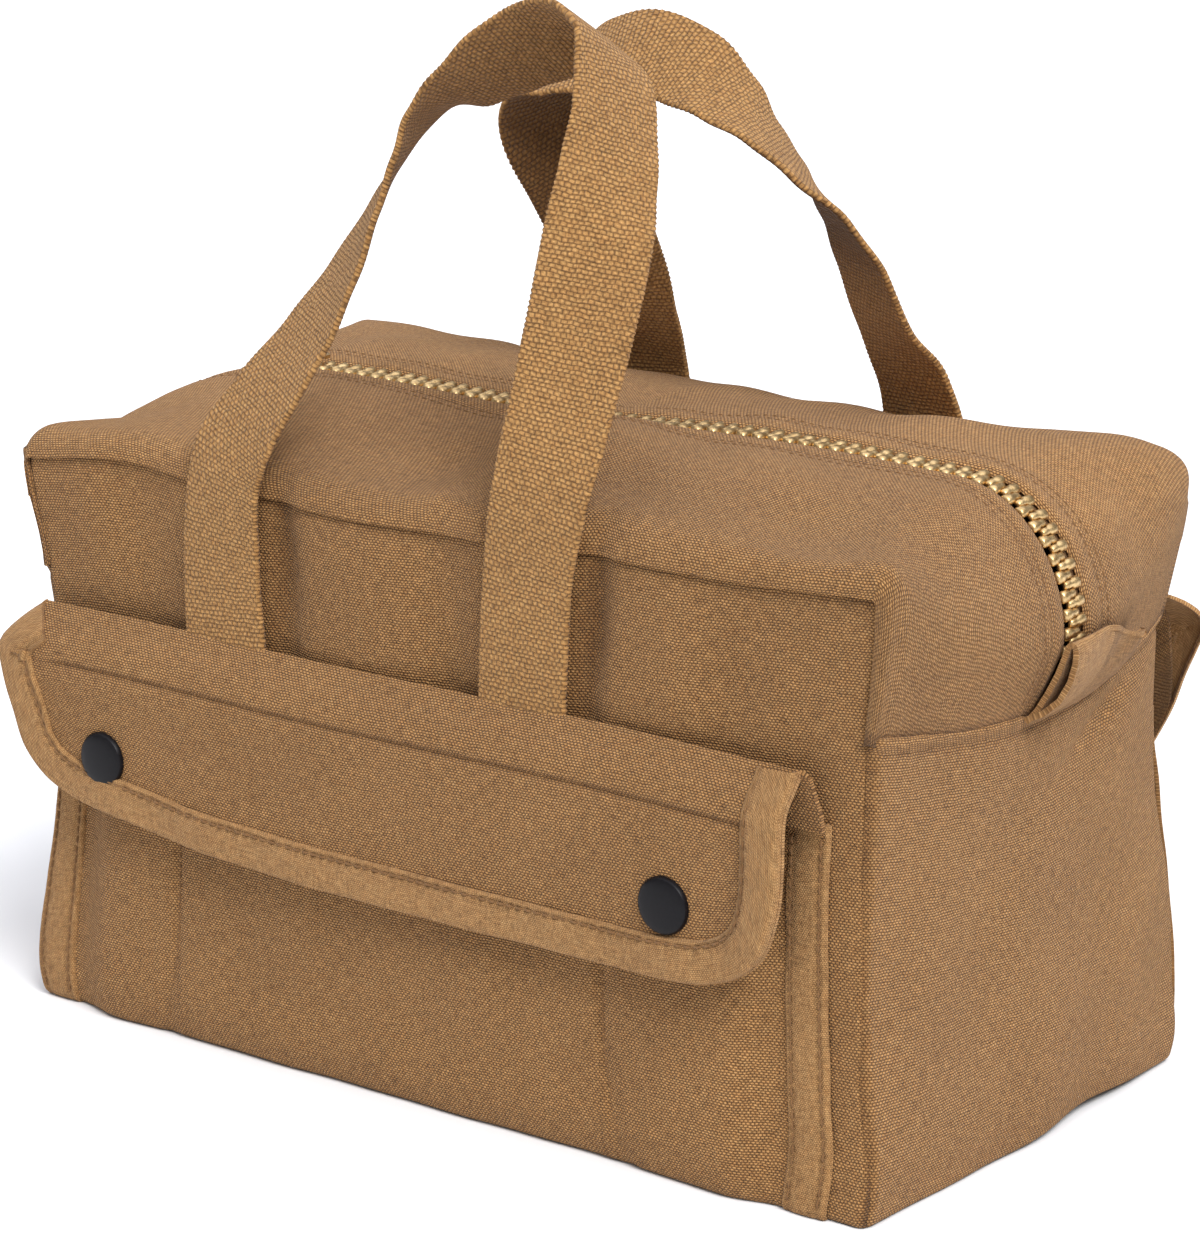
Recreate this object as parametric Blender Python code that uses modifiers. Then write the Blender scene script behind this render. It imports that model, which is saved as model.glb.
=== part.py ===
"""A canvas carry bag: box body, zipped top, two webbing handles, and a flapped pocket on each face.

Frame: origin at the middle of the bottom, +X along the length, front face at -Y, +Z up.
Lengths are written in millimetres and multiplied by MM where a mesh or an object takes them.
"""

from math import asin, ceil, cos, pi, radians, sin

import bmesh
import bpy
from mathutils import Matrix, Vector

MM = 0.001
GAP = 0.4

# Body
LENGTH = 305.0
DEPTH = 152.0
HEIGHT = 177.0
CANVAS = 1.5
FRONT_BULGE = 1.5
END_BULGE = 4.0
SEAM_EDGE_Z = 136.0
SEAM_DIP = 10.0

# Top strips, from the long edge of the bag (0) to the zip (1)
CROWN = 14.5
SHOULDER_REACH = 11.0
EDGE_RADIUS = 2.0
SHOULDER_RADIUS = 48.0
STRIP_EDGE_Y = 75.7
STRIP_ZIP_Y = 6.2
MOUTH_LEFT = -70.0
MOUTH_RIGHT = 108.0

# Zip
TAPE_DROP = 2.2
TAPE_THICKNESS = 0.9
TAPE_OUTER_Y = 14.0
TAPE_INNER_Y = 5.1
TEETH_DROP = 0.7
TEETH_THICKNESS = 2.6
SPINE_OUTER_Y = 4.7
SPINE_INNER_Y = 2.6
TOOTH_TIP = 1.2
TOOTH_PITCH = 4.0
TOOTH_WIDTH = 1.5
SLIDER_START_X = -119.0
SLIDER_LENGTH = 13.0
SLIDER_WIDTH = 8.4
SLIDER_THICKNESS = 1.3
PULL_LENGTH = 18.0
PULL_WIDTH = 6.4

# Handles
WEBBING_WIDTH = 30.5
WEBBING_THICKNESS = 1.9
HANDLE_HINGE_Y = 80.9
HANDLE_HINGE_Z = 126.0

# Pocket and flap, in the front face's own x
POCKET_LEFT = -150.0
POCKET_RIGHT = 139.0
POCKET_TOP = 108.0
POCKET_POUCH = 6.5
POUCH_SIDE = 16.0
POUCH_RISE = 30.0
BINDING_WIDTH = 14.0
BINDING_THICKNESS = 1.2
FLAP_LEFT = -148.0
FLAP_RIGHT = 130.5
FLAP_BOTTOM = 62.0
FLAP_CORNER = 25.0
FLAP_INNER_Y = 90.0
FLAP_THICKNESS = 1.6
FLAP_BINDING_WIDTH = 12.5
FLAP_HINGE_Y = 82.6
FLAP_HINGE_Z = 124.5
FLAP_PROFILE = ((82.6, 125.2), (86.4, 121.4), (89.7, 116.6), (91.2, 111.5), (91.6, 106.0), (91.6, 60.0))
SNAPS = ((-112.0, 86.4), (93.6, 82.8))
SNAP_HOLE = 2.3
SNAP_SIDES = 12

# Colours
CANVAS_TAN = (0.42, 0.27, 0.145)
WEBBING_TAN = (0.47, 0.31, 0.16)
BINDING_TAN = (0.45, 0.29, 0.155)
BRASS = (0.72, 0.52, 0.24)
BLACK = (0.02, 0.02, 0.022)

# Handle routes: the middle of the webbing (x, y, z) and the way its outer face looks, leg to leg
FRONT_ROUTE = (
    ((-72, -80.9, 126.8), (-0.01, -1, 0)),
    ((-73, -80.9, 151), (-0.06, -1, 0)),
    ((-70, -81.5, 178), (-0.16, -1, 0.05)),
    ((-63, -77, 197), (-0.33, -0.95, 0.2)),
    ((-52, -68, 217), (-0.45, -0.85, 0.25)),
    ((-44, -60, 236), (-0.6, -0.75, 0.25)),
    ((-38, -53, 254), (-0.72, -0.62, 0.25)),
    ((-34, -48, 268), (-0.82, -0.42, 0.3)),
    ((-27, -44, 281), (-0.85, -0.05, 0.5)),
    ((-16, -41, 290), (-0.6, 0.5, 0.5)),
    ((-3, -38, 298), (-0.3, 0.8, 0.5)),
    ((9, -36, 302), (-0.1, 0.8, 0.55)),
    ((19, -35, 304), (0.25, 0.5, 0.8)),
    ((27, -36, 303), (0.65, 0.1, 0.7)),
    ((34, -39, 296), (0.85, -0.35, 0.35)),
    ((40, -44, 284), (0.75, -0.65, 0.15)),
    ((44, -51, 269), (0.65, -0.75, 0.1)),
    ((46, -59, 251), (0.55, -0.85, 0.1)),
    ((47, -68, 230), (0.4, -0.9, 0.1)),
    ((46, -76, 207), (0.25, -0.95, 0.05)),
    ((43, -81, 185), (0.1, -1, 0)),
    ((39, -81, 162), (0, -1, 0)),
    ((37, -80.9, 126.8), (0, -1, 0)),
)
BACK_ROUTE = (
    ((61, 80.9, 126.8), (0, 1, 0)),
    ((61, 80.9, 152), (0.03, 1, 0)),
    ((61, 81.5, 178), (0.1, 1, 0.05)),
    ((59.5, 76, 196), (0.2, 0.97, 0.1)),
    ((55, 66, 213), (0.4, 0.9, 0.15)),
    ((52, 58, 231), (0.45, 0.85, 0.2)),
    ((50, 51, 247), (0.55, 0.8, 0.2)),
    ((42, 44, 262), (0.7, 0.5, 0.4)),
    ((33, 40, 272), (0.65, 0.3, 0.65)),
    ((22, 37, 279), (0.45, -0.15, 0.85)),
    ((9, 34, 284.5), (0.24, -0.55, 0.75)),
    ((-5, 31, 287), (0.1, -0.68, 0.7)),
    ((-18, 29, 288), (-0.1, -0.6, 0.7)),
    ((-32, 28, 284), (-0.35, -0.4, 0.8)),
    ((-42, 29, 277), (-0.8, 0.1, 0.6)),
    ((-44, 33, 266), (-0.9, 0.35, 0.2)),
    ((-39, 39, 252), (-0.8, 0.6, 0.1)),
    ((-34.5, 46, 237), (-0.7, 0.7, 0.1)),
    ((-34, 57, 221), (-0.6, 0.8, 0.1)),
    ((-37, 71, 203), (-0.3, 0.95, 0.1)),
    ((-39.5, 81.5, 187), (-0.1, 1, 0.05)),
    ((-38, 82, 160), (-0.04, 1, 0)),
    ((-38, 80.9, 126.8), (0, 1, 0)),
)

SIDES = (("front", -1), ("back", 1))


def clear_scene():
    for thing in list(bpy.data.objects):
        bpy.data.objects.remove(thing, do_unlink=True)


def new_collection(name):
    collection = bpy.data.collections.new(name)
    bpy.context.scene.collection.children.link(collection)
    return collection


def finish_material(name, colour, roughness, metallic=0.0):
    material = bpy.data.materials.new(name)
    material.use_nodes = True
    shader = material.node_tree.nodes["Principled BSDF"]
    shader.inputs["Base Color"].default_value = (*colour, 1.0)
    shader.inputs["Roughness"].default_value = roughness
    shader.inputs["Metallic"].default_value = metallic
    material.diffuse_color = (*colour, 1.0)
    return material


def add_piece(name, mesh, colour, origin=(0, 0, 0), turn=0.0, roughness=0.9, metallic=0.0):
    """Adds a mesh, whose points are in millimetres about origin, as a named piece turned about Z."""
    piece = bpy.data.objects.new(name, mesh)
    piece.location = Matrix.Rotation(turn, 3, "Z") @ (Vector(origin) * MM)
    piece.rotation_euler = (0, 0, turn)
    mesh.materials.append(finish_material(name, colour, roughness, metallic))
    parts.objects.link(piece)
    return piece


def to_metres(bm, origin=(0, 0, 0)):
    bmesh.ops.translate(bm, verts=bm.verts, vec=-Vector(origin))
    bmesh.ops.scale(bm, verts=bm.verts, vec=(MM, MM, MM))


def mesh_from(bm, name, origin=(0, 0, 0)):
    to_metres(bm, origin)
    mesh = bpy.data.meshes.new(name)
    bm.to_mesh(mesh)
    bm.free()
    return mesh


def surface_mesh(name, rows, flip=False, origin=(0, 0, 0)):
    """An open sheet through rows of points. Its faces look outward, so Solidify thickens it inward."""
    bm = bmesh.new()
    grid = [[bm.verts.new(point) for point in row] for row in rows]
    for lower, upper in zip(grid, grid[1:]):
        for k in range(len(lower) - 1):
            corners = [lower[k], lower[k + 1], upper[k + 1], upper[k]]
            bm.faces.new(corners[::-1] if flip else corners)
    return mesh_from(bm, name, origin)


def thicken(piece, thickness):
    solid = piece.modifiers.new("thickness", "SOLIDIFY")
    solid.thickness = thickness * MM
    solid.offset = -1.0
    return piece


def sheet(name, rows, thickness, colour, flip=False, origin=(0, 0, 0), turn=0.0):
    mesh = surface_mesh(name, rows, flip, origin)
    return thicken(add_piece(name, mesh, colour, origin, turn), thickness)


def strap_mesh(name, centres, outward, width, thickness, origin=(0, 0, 0)):
    """A flat strap lofted through its centre points; outward is the way its outer face looks."""
    bm = bmesh.new()
    rings = []
    for k, centre in enumerate(centres):
        along = (centres[min(k + 1, len(centres) - 1)] - centres[max(k - 1, 0)]).normalized()
        face = outward[k] - along * outward[k].dot(along)
        face.normalize()
        across = along.cross(face)
        corners = ((0.5, 0.5), (-0.5, 0.5), (-0.5, -0.5), (0.5, -0.5))
        rings.append([
            bm.verts.new(centre + across * width * a + face * thickness * b) for a, b in corners
        ])
    for first, second in zip(rings, rings[1:]):
        for k in range(4):
            n = (k + 1) % 4
            bm.faces.new((first[k], first[n], second[n], second[k]))
    bm.faces.new(rings[0][::-1])
    bm.faces.new(rings[-1])
    bmesh.ops.recalc_face_normals(bm, faces=bm.faces)
    return mesh_from(bm, name, origin)


def outline_mesh(name, splines, thickness, place):
    """A plate from closed flat outlines, the later ones holes, moved into place by a matrix."""
    curve = bpy.data.curves.new(name, "CURVE")
    curve.dimensions = "2D"
    curve.fill_mode = "BOTH"
    curve.extrude = thickness / 2
    for points in splines:
        spline = curve.splines.new("POLY")
        spline.points.add(len(points) - 1)
        spline.use_cyclic_u = True
        for corner, (x, y) in zip(spline.points, points):
            corner.co = (x, y, 0, 1)
    holder = bpy.data.objects.new(name + "_outline", curve)
    bpy.context.scene.collection.objects.link(holder)
    bpy.context.view_layer.update()
    evaluated = holder.evaluated_get(bpy.context.evaluated_depsgraph_get())
    mesh = bpy.data.meshes.new_from_object(evaluated)
    bpy.data.objects.remove(holder, do_unlink=True)
    bpy.data.curves.remove(curve)
    bm = bmesh.new()
    bm.from_mesh(mesh)
    bpy.data.meshes.remove(mesh)
    bmesh.ops.remove_doubles(bm, verts=bm.verts, dist=1e-4)
    bmesh.ops.transform(bm, matrix=place, verts=bm.verts)
    bmesh.ops.recalc_face_normals(bm, faces=bm.faces)
    return bm


def cut_with(piece, cutters):
    for cutter in cutters:
        hole = piece.modifiers.new("hole", "BOOLEAN")
        hole.operation = "DIFFERENCE"
        hole.solver = "EXACT"
        hole.object = cutter


def steps(first, last, count):
    return [first + (last - first) * k / (count - 1) for k in range(count)]


def ease(t):
    t = min(max(t, 0.0), 1.0)
    return t * t * (3 - 2 * t)


# ---- the body's panels ----


def face_y(x, z):
    """How far the front or back face stands from the middle plane."""
    bulge = cos(pi * x / LENGTH) * sin(pi * min(max(z / HEIGHT, 0), 1))
    return DEPTH / 2 + FRONT_BULGE * max(bulge, 0)


def seam_z(y):
    """The height of the seam between an end panel and the top strips."""
    return SEAM_EDGE_Z - SEAM_DIP * (1 - (2 * y / DEPTH) ** 2)


def end_x(y, z):
    rise = sin(pi / 2 * min(z / (SEAM_EDGE_Z - SEAM_DIP), 1))
    return LENGTH / 2 + END_BULGE * cos(pi * y / DEPTH) * rise


def make_panels():
    half = LENGTH / 2 - CANVAS - 1.0
    top = HEIGHT - CANVAS - 0.5
    for side, sign in SIDES:
        rows = [
            [(x, sign * face_y(x, z), z) for x in steps(-half, half, 13)] for z in steps(0, top, 9)
        ]
        sheet(side + "_panel", rows, CANVAS, CANVAS_TAN, flip=sign > 0)
    for side, sign in (("left", -1), ("right", 1)):
        rows = []
        for share in steps(0, 1, 8):
            ys = steps(-DEPTH / 2, DEPTH / 2, 11)
            rows.append([(sign * end_x(y, share * seam_z(y)), y, share * seam_z(y)) for y in ys])
        sheet("end_panel_" + side, rows, CANVAS, CANVAS_TAN, flip=sign < 0)
    bm = bmesh.new()
    bmesh.ops.create_cube(bm, size=1.0)
    size = (2 * half, DEPTH - 2 * CANVAS - 2 * GAP, CANVAS)
    bmesh.ops.scale(bm, verts=bm.verts, vec=size)
    bmesh.ops.translate(bm, verts=bm.verts, vec=(0, 0, CANVAS / 2))
    add_piece("bottom_panel", mesh_from(bm, "bottom_panel"), CANVAS_TAN)


# ---- the top strips and the zip ----


def end_profile(share, drop=0.0):
    """From the end seam up over the right shoulder to the flat top, as (x, z).

    share is 0 at the bag's long edge and 1 at the zip; drop is how far under the canvas's face.
    """
    swell = sin(pi / 2 * share)
    y = STRIP_EDGE_Y + (STRIP_ZIP_Y - STRIP_EDGE_Y) * share
    radius = EDGE_RADIUS + (SHOULDER_RADIUS - EDGE_RADIUS) * swell
    reach = LENGTH / 2 - 0.5 + SHOULDER_REACH * swell
    top = HEIGHT + CROWN * swell
    low = seam_z(y) + GAP
    low_x = min(end_x(y, low), reach)
    profile = []
    for t in steps(0, 1, 4)[:-1]:
        x = low_x + (reach - low_x) * ease(t)
        profile.append((x - drop, low + (top - radius - low) * t))
    for angle in steps(0, pi / 2, 7):
        x = reach - radius + (radius - drop) * cos(angle)
        z = top - radius + (radius - drop) * sin(angle)
        profile.append((x, z))
    return profile


def top_z(share):
    return HEIGHT + CROWN * sin(pi / 2 * share)


def strip_y(share):
    return STRIP_EDGE_Y + (STRIP_ZIP_Y - STRIP_EDGE_Y) * share


def end_run(share, side, drop=0.0):
    """Points (x, z) of one end of a strip, from its seam to the cut where the mouth begins."""
    cut = -MOUTH_LEFT if side == "left" else MOUTH_RIGHT
    profile = end_profile(share, drop)
    reached = profile[-1][0]
    for x in steps(reached, cut + GAP / 2, 4)[1:]:
        profile.append((x, top_z(share) - drop))
    mirror = -1 if side == "left" else 1
    return [(mirror * x, z) for x, z in profile]


def make_strips():
    shares = steps(0, 1, 9)
    hinge = {sign: (0, sign * STRIP_EDGE_Y, HEIGHT) for _, sign in SIDES}
    for name, sign in SIDES:
        for end in ("left", "right"):
            rows = [[(x, sign * strip_y(s), z) for x, z in end_run(s, end)] for s in shares]
            flip = (sign > 0) != (end == "left")
            sheet(f"top_strip_{name}_{end}", rows, CANVAS, CANVAS_TAN, flip=not flip)
        xs = steps(MOUTH_LEFT + GAP / 2, MOUTH_RIGHT - GAP / 2, 7)
        rows = [[(x, sign * strip_y(s), top_z(s)) for x in xs] for s in shares]
        sheet(f"top_strip_{name}", rows, CANVAS, CANVAS_TAN, flip=sign > 0, origin=hinge[sign])


def make_tapes():
    for name, sign in SIDES:
        ys = (TAPE_OUTER_Y * sign, TAPE_INNER_Y * sign)
        for end in ("left", "right"):
            run = end_run(1.0, end, TAPE_DROP)[1:]
            rows = [[(x, y, z) for x, z in run] for y in ys]
            flip = (sign > 0) != (end == "left")
            tape = f"zip_tape_{name}_{end}"
            sheet(tape, rows, TAPE_THICKNESS, BINDING_TAN, flip=not flip)
        xs = steps(MOUTH_LEFT + GAP / 2, MOUTH_RIGHT - GAP / 2, 3)
        rows = [[(x, y, top_z(1.0) - TAPE_DROP) for x in xs] for y in ys]
        origin = (0, sign * STRIP_EDGE_Y, HEIGHT)
        sheet(f"zip_tape_{name}", rows, TAPE_THICKNESS, BINDING_TAN, flip=sign > 0, origin=origin)


def comb_outline(sign):
    """The meshing part of one row of teeth, seen from above; the two rows are half a pitch apart."""
    left = MOUTH_LEFT + GAP / 2
    right = MOUTH_RIGHT - GAP / 2
    start = left + 0.6 + (TOOTH_PITCH / 2 if sign > 0 else 0)
    points = [(right, sign * SPINE_OUTER_Y), (left, sign * SPINE_OUTER_Y)]
    points.append((left, sign * SPINE_INNER_Y))
    count = int((right - start - TOOTH_WIDTH) // TOOTH_PITCH) + 1
    for k in range(count):
        x = start + k * TOOTH_PITCH
        points += [(x, sign * SPINE_INNER_Y), (x, -sign * TOOTH_TIP)]
        points += [(x + TOOTH_WIDTH, -sign * TOOTH_TIP), (x + TOOTH_WIDTH, sign * SPINE_INNER_Y)]
    points.append((right, sign * SPINE_INNER_Y))
    return points


def make_teeth():
    middle = top_z(1.0) - TEETH_DROP - TEETH_THICKNESS / 2
    for name, sign in SIDES:
        for end in ("left", "right"):
            run = end_run(1.0, end, TEETH_DROP)[1:]
            ys = (SPINE_OUTER_Y * sign, GAP / 2 * sign)
            rows = [[(x, y, z) for x, z in run] for y in ys]
            flip = (sign > 0) != (end == "left")
            row = f"zip_teeth_{name}_{end}"
            piece = sheet(row, rows, TEETH_THICKNESS, BRASS, flip=not flip)
            piece.data.materials[0] = finish_material(row, BRASS, 0.35, 1.0)
        place = Matrix.Translation((0, 0, middle))
        bm = outline_mesh("comb", [comb_outline(sign)], TEETH_THICKNESS, place)
        origin = (0, sign * STRIP_EDGE_Y, HEIGHT)
        mesh = mesh_from(bm, "zip_teeth_" + name, origin)
        add_piece("zip_teeth_" + name, mesh, BRASS, origin, roughness=0.35, metallic=1.0)


def rounded(width, length, radius, centre=(0, 0), corner_steps=4):
    """A rectangle with round corners, length along x."""
    points = []
    for quarter in range(4):
        sx = (1, -1, -1, 1)[quarter]
        sy = (1, 1, -1, -1)[quarter]
        for k in range(corner_steps + 1):
            angle = pi / 2 * (quarter + k / corner_steps)
            x = sx * (length / 2 - radius) + radius * cos(angle)
            y = sy * (width / 2 - radius) + radius * sin(angle)
            points.append((centre[0] + x, centre[1] + y))
    return points


def make_slider():
    """A shield-shaped plate with an arch over it, through which the pull tab's eye passes."""
    base = top_z(1.0) - TEETH_DROP + GAP
    place = Matrix.Translation((SLIDER_START_X, 0, base + SLIDER_THICKNESS / 2))
    plate = outline_mesh(
        "plate", [rounded(SLIDER_WIDTH, SLIDER_LENGTH, 2.6)], SLIDER_THICKNESS, place
    )
    origin = (SLIDER_START_X, 0, base)
    slider = add_piece(
        "zip_slider", mesh_from(plate, "zip_slider", origin), BRASS, origin,
        roughness=0.35, metallic=1.0,
    )
    floor = base + SLIDER_THICKNESS
    arch = [Vector((x, 0, floor + rise)) for x, rise in (
        (-4.3, -0.6), (-4.3, 1.2), (-3.6, 2.6), (-2.2, 3.2), (2.2, 3.2), (3.6, 2.6), (4.3, 1.2),
        (4.3, -0.6),
    )]
    middle = Vector((0, 0, floor))
    outward = [(point - middle).normalized() for point in arch]
    outward[0] = outward[1] = Vector((-1, 0, 0))
    outward[-1] = outward[-2] = Vector((1, 0, 0))
    bridge = bpy.data.objects.new("bridge_tool", strap_mesh("bridge", arch, outward, 2.0, 1.0))
    bridge.location = Vector((SLIDER_START_X, 0, 0)) * MM
    bridge.hide_render = True
    bridge.display_type = "WIRE"
    tools.objects.link(bridge)
    join = slider.modifiers.new("bridge", "BOOLEAN")
    join.operation = "UNION"
    join.solver = "EXACT"
    join.object = bridge
    return floor


def make_pull(floor):
    """A flat tab with an eye round the slider's arch, lying forward over the closed zip."""
    pivot = (SLIDER_START_X, 0, floor + 1.35)
    eye = rounded(3.4, 5.0, 0.8, centre=(3.3, 0), corner_steps=2)
    far_hole = rounded(2.6, 5.0, 1.2, centre=(PULL_LENGTH - 5.4, 0), corner_steps=2)
    body = rounded(PULL_WIDTH, PULL_LENGTH, 2.0, centre=(PULL_LENGTH / 2 - 0.7, 0))
    bm = outline_mesh("tab", [body, eye, far_hole], 1.0, Matrix.Identity(4))
    add_piece(
        "zip_pull", mesh_from(bm, "zip_pull"), BRASS, pivot, roughness=0.35, metallic=1.0
    )


def make_end_tabs():
    """A folded canvas loop over each end of the zip, both its ends in the end seam."""
    width, offset = 46.0, 10.0
    seam = seam_z(0.0)
    profile = [(158.2, seam - 1.5), (160.2, seam + 4), (162.6, seam + 10), (164.4, seam + 16)]
    profile += [(165.4, seam + 21), (167.2, seam + 23), (169.2, seam + 21.5), (169.9, seam + 18)]
    profile += [(169.4, seam + 11), (166.8, seam + 4.5), (163.0, seam + 0.5), (160.2, seam - 2.5)]
    centres = [Vector((x, offset, z)) for x, z in profile]
    middle = Vector((166.4, offset, seam + 13))
    for k, side in enumerate(("left", "right")):
        outward = [(point - middle).normalized() for point in centres]
        mesh = strap_mesh("end_tab", centres, outward, width, 1.0)
        add_piece("end_tab_" + side, mesh, CANVAS_TAN, turn=pi * (1 - k))


# ---- handles ----


def smooth_route(route, spacing):
    """Points and outer-face directions along a smooth curve through the route's own points."""
    centres = [Vector(point) for point, _ in route]
    faces = [Vector(face) for _, face in route]
    points, outward = [], []
    for k in range(len(centres) - 1):
        before = centres[max(k - 1, 0)]
        here, there = centres[k], centres[k + 1]
        after = centres[min(k + 2, len(centres) - 1)]
        count = max(1, round((there - here).length / spacing))
        for step in range(count):
            t = step / count
            blend = (
                here * 2 + (there - before) * t
                + (before * 2 - here * 5 + there * 4 - after) * t ** 2
                + (here * 3 - before - there * 3 + after) * t ** 3
            ) * 0.5
            points.append(blend)
            outward.append(faces[k].lerp(faces[k + 1], t))
    points.append(centres[-1])
    outward.append(faces[-1])
    return points, outward


def make_handles():
    for (name, sign), route in zip(SIDES, (FRONT_ROUTE, BACK_ROUTE)):
        origin = (0, sign * HANDLE_HINGE_Y, HANDLE_HINGE_Z)
        points, outward = smooth_route(route, 9.0)
        mesh = strap_mesh("handle", points, outward, WEBBING_WIDTH, WEBBING_THICKNESS, origin)
        add_piece(name + "_handle", mesh, WEBBING_TAN, origin)


# ---- pockets and flaps: modelled on the front face and turned half round for the back ----


def pocket_y(x, z):
    """How far the pocket's outer face stands from the middle plane."""
    middle = (POCKET_LEFT + POCKET_RIGHT) / 2
    inside = (POCKET_RIGHT - POCKET_LEFT) / 2 - BINDING_WIDTH - abs(x - middle)
    pouch = POCKET_POUCH * ease(inside / POUCH_SIDE) * ease(z / POUCH_RISE)
    return face_y(x, z) + GAP + CANVAS + pouch


def snap_cutters(side, turn):
    cutters = []
    for k, (x, z) in enumerate(SNAPS):
        bm = bmesh.new()
        bmesh.ops.create_cone(
            bm, cap_ends=True, segments=SNAP_SIDES, radius1=SNAP_HOLE, radius2=SNAP_HOLE, depth=30
        )
        bmesh.ops.rotate(bm, verts=bm.verts, matrix=Matrix.Rotation(pi / 2, 3, "X"))
        bmesh.ops.translate(bm, verts=bm.verts, vec=(x, -DEPTH / 2 - 10, z))
        cutter = bpy.data.objects.new(f"{side}_snap_cutter_{k}", mesh_from(bm, "cutter"))
        cutter.rotation_euler = (0, 0, turn)
        cutter.hide_render = True
        cutter.display_type = "WIRE"
        tools.objects.link(cutter)
        cutters.append(cutter)
    return cutters


def make_pocket(side, turn, cutters):
    middle = (POCKET_LEFT + POCKET_RIGHT) / 2
    pouch_left = POCKET_LEFT + BINDING_WIDTH
    xs = [POCKET_LEFT + 1, pouch_left, pouch_left + POUCH_SIDE / 2]
    xs += steps(pouch_left + POUCH_SIDE, middle, 5)
    xs += [2 * middle - x for x in reversed(xs[:-1])]
    zs = steps(0, POUCH_RISE, 5) + steps(POUCH_RISE, POCKET_TOP, 4)[1:]
    rows = [[(x, -pocket_y(x, z), z) for x in xs] for z in zs]
    pocket = sheet(side + "_pocket_panel", rows, CANVAS, CANVAS_TAN, turn=turn)
    cut_with(pocket, cutters)
    right = POCKET_RIGHT - BINDING_WIDTH
    for end, left in (("left", POCKET_LEFT), ("right", right)):
        rows = []
        for z in steps(0, POCKET_TOP, 9):
            row = []
            for x in steps(left, left + BINDING_WIDTH - 1, 3):
                row.append((x, -pocket_y(x, z) - GAP - BINDING_THICKNESS, z))
            rows.append(row)
        sheet(f"{side}_pocket_binding_{end}", rows, BINDING_THICKNESS, BINDING_TAN, turn=turn)


def on_flap(x, z, lift=0.0):
    """A point of the flap's outer face at height z, raised by lift. The face slopes out, then hangs."""
    for (y_up, z_up), (y_low, z_low) in zip(FLAP_PROFILE, FLAP_PROFILE[1:]):
        if z >= z_low:
            break
    share = (z_up - z) / (z_up - z_low)
    run = Vector((0, z_up - z_low, y_low - y_up)).normalized()
    return (x, -(y_up + (y_low - y_up) * share) - lift * run.y, z + lift * run.z)


def flap_edge(inset):
    """Down the left edge, round both lower corners and up the right edge of a flap, as (x, z)."""
    radius = FLAP_CORNER - inset
    left, right = FLAP_LEFT + inset, FLAP_RIGHT - inset
    bottom = FLAP_BOTTOM + inset
    heights = [z for _, z in FLAP_PROFILE[:-1]] + [96.0]
    points = [(left, z) for z in heights]
    for angle in steps(pi, 1.5 * pi, 7):
        points.append((left + radius * (1 + cos(angle)), bottom + radius * (1 + sin(angle))))
    for angle in steps(1.5 * pi, 2 * pi, 7):
        points.append((right - radius * (1 - cos(angle)), bottom + radius * (1 + sin(angle))))
    points += [(right, z) for z in reversed(heights)]
    return points


def make_flap(side, turn, cutters):
    origin = (0, -FLAP_HINGE_Y, FLAP_HINGE_Z)
    edge = flap_edge(0.0)
    half = len(edge) // 2
    rows = []
    for (left, z), (right, _) in zip(edge[:half][::-1], edge[half:]):
        rows.append([on_flap(x, z) for x in steps(left, right, 9)])
    flap = sheet(side + "_flap", rows, FLAP_THICKNESS, CANVAS_TAN, origin=origin, turn=turn)
    cut_with(flap, cutters)
    lift = GAP + BINDING_THICKNESS
    rows = [[on_flap(x, z, lift) for x, z in flap_edge(inset)] for inset in (0, FLAP_BINDING_WIDTH)]
    band = side + "_flap_binding"
    sheet(band, rows, BINDING_THICKNESS, BINDING_TAN, origin=origin, turn=turn)
    xs = steps(FLAP_LEFT, FLAP_RIGHT + 6, 9)
    profile = ((79.0, 109.5), (79.3, 115.0), (79.5, 120.0), (79.6, 124.6))
    rows = [[(x, -y, z) for x in xs] for y, z in profile]
    sheet(side + "_flap_root", rows, 1.2, CANVAS_TAN, turn=turn)


def turned(name, profile, axis_point, turn, origin, colour, metallic=0.0):
    """A piece turned about a snap's axis: profile is (radius, y), along the outer side first."""
    bm = bmesh.new()
    corners = [bm.verts.new((radius, 0, depth)) for radius, depth in profile]
    closed = profile[0][0] > 0 and profile[-1][0] > 0
    pairs = list(zip(corners, corners[1:]))
    if closed:
        pairs.append((corners[-1], corners[0]))
    edges = [bm.edges.new(pair) for pair in pairs]
    bmesh.ops.spin(
        bm, geom=bm.verts[:] + edges, cent=(0, 0, 0), axis=(0, 0, 1), angle=2 * pi,
        steps=SNAP_SIDES, use_merge=True,
    )
    bmesh.ops.remove_doubles(bm, verts=bm.verts, dist=1e-3)
    bmesh.ops.rotate(bm, verts=bm.verts, matrix=Matrix.Rotation(pi / 2, 3, "X"))
    bmesh.ops.translate(bm, verts=bm.verts, vec=axis_point)
    bmesh.ops.recalc_face_normals(bm, faces=bm.faces)
    mesh = mesh_from(bm, name, origin)
    mesh.shade_smooth()
    mesh.set_sharp_from_angle(angle=radians(35))
    return add_piece(name, mesh, colour, origin, turn, roughness=0.3, metallic=metallic)


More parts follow.
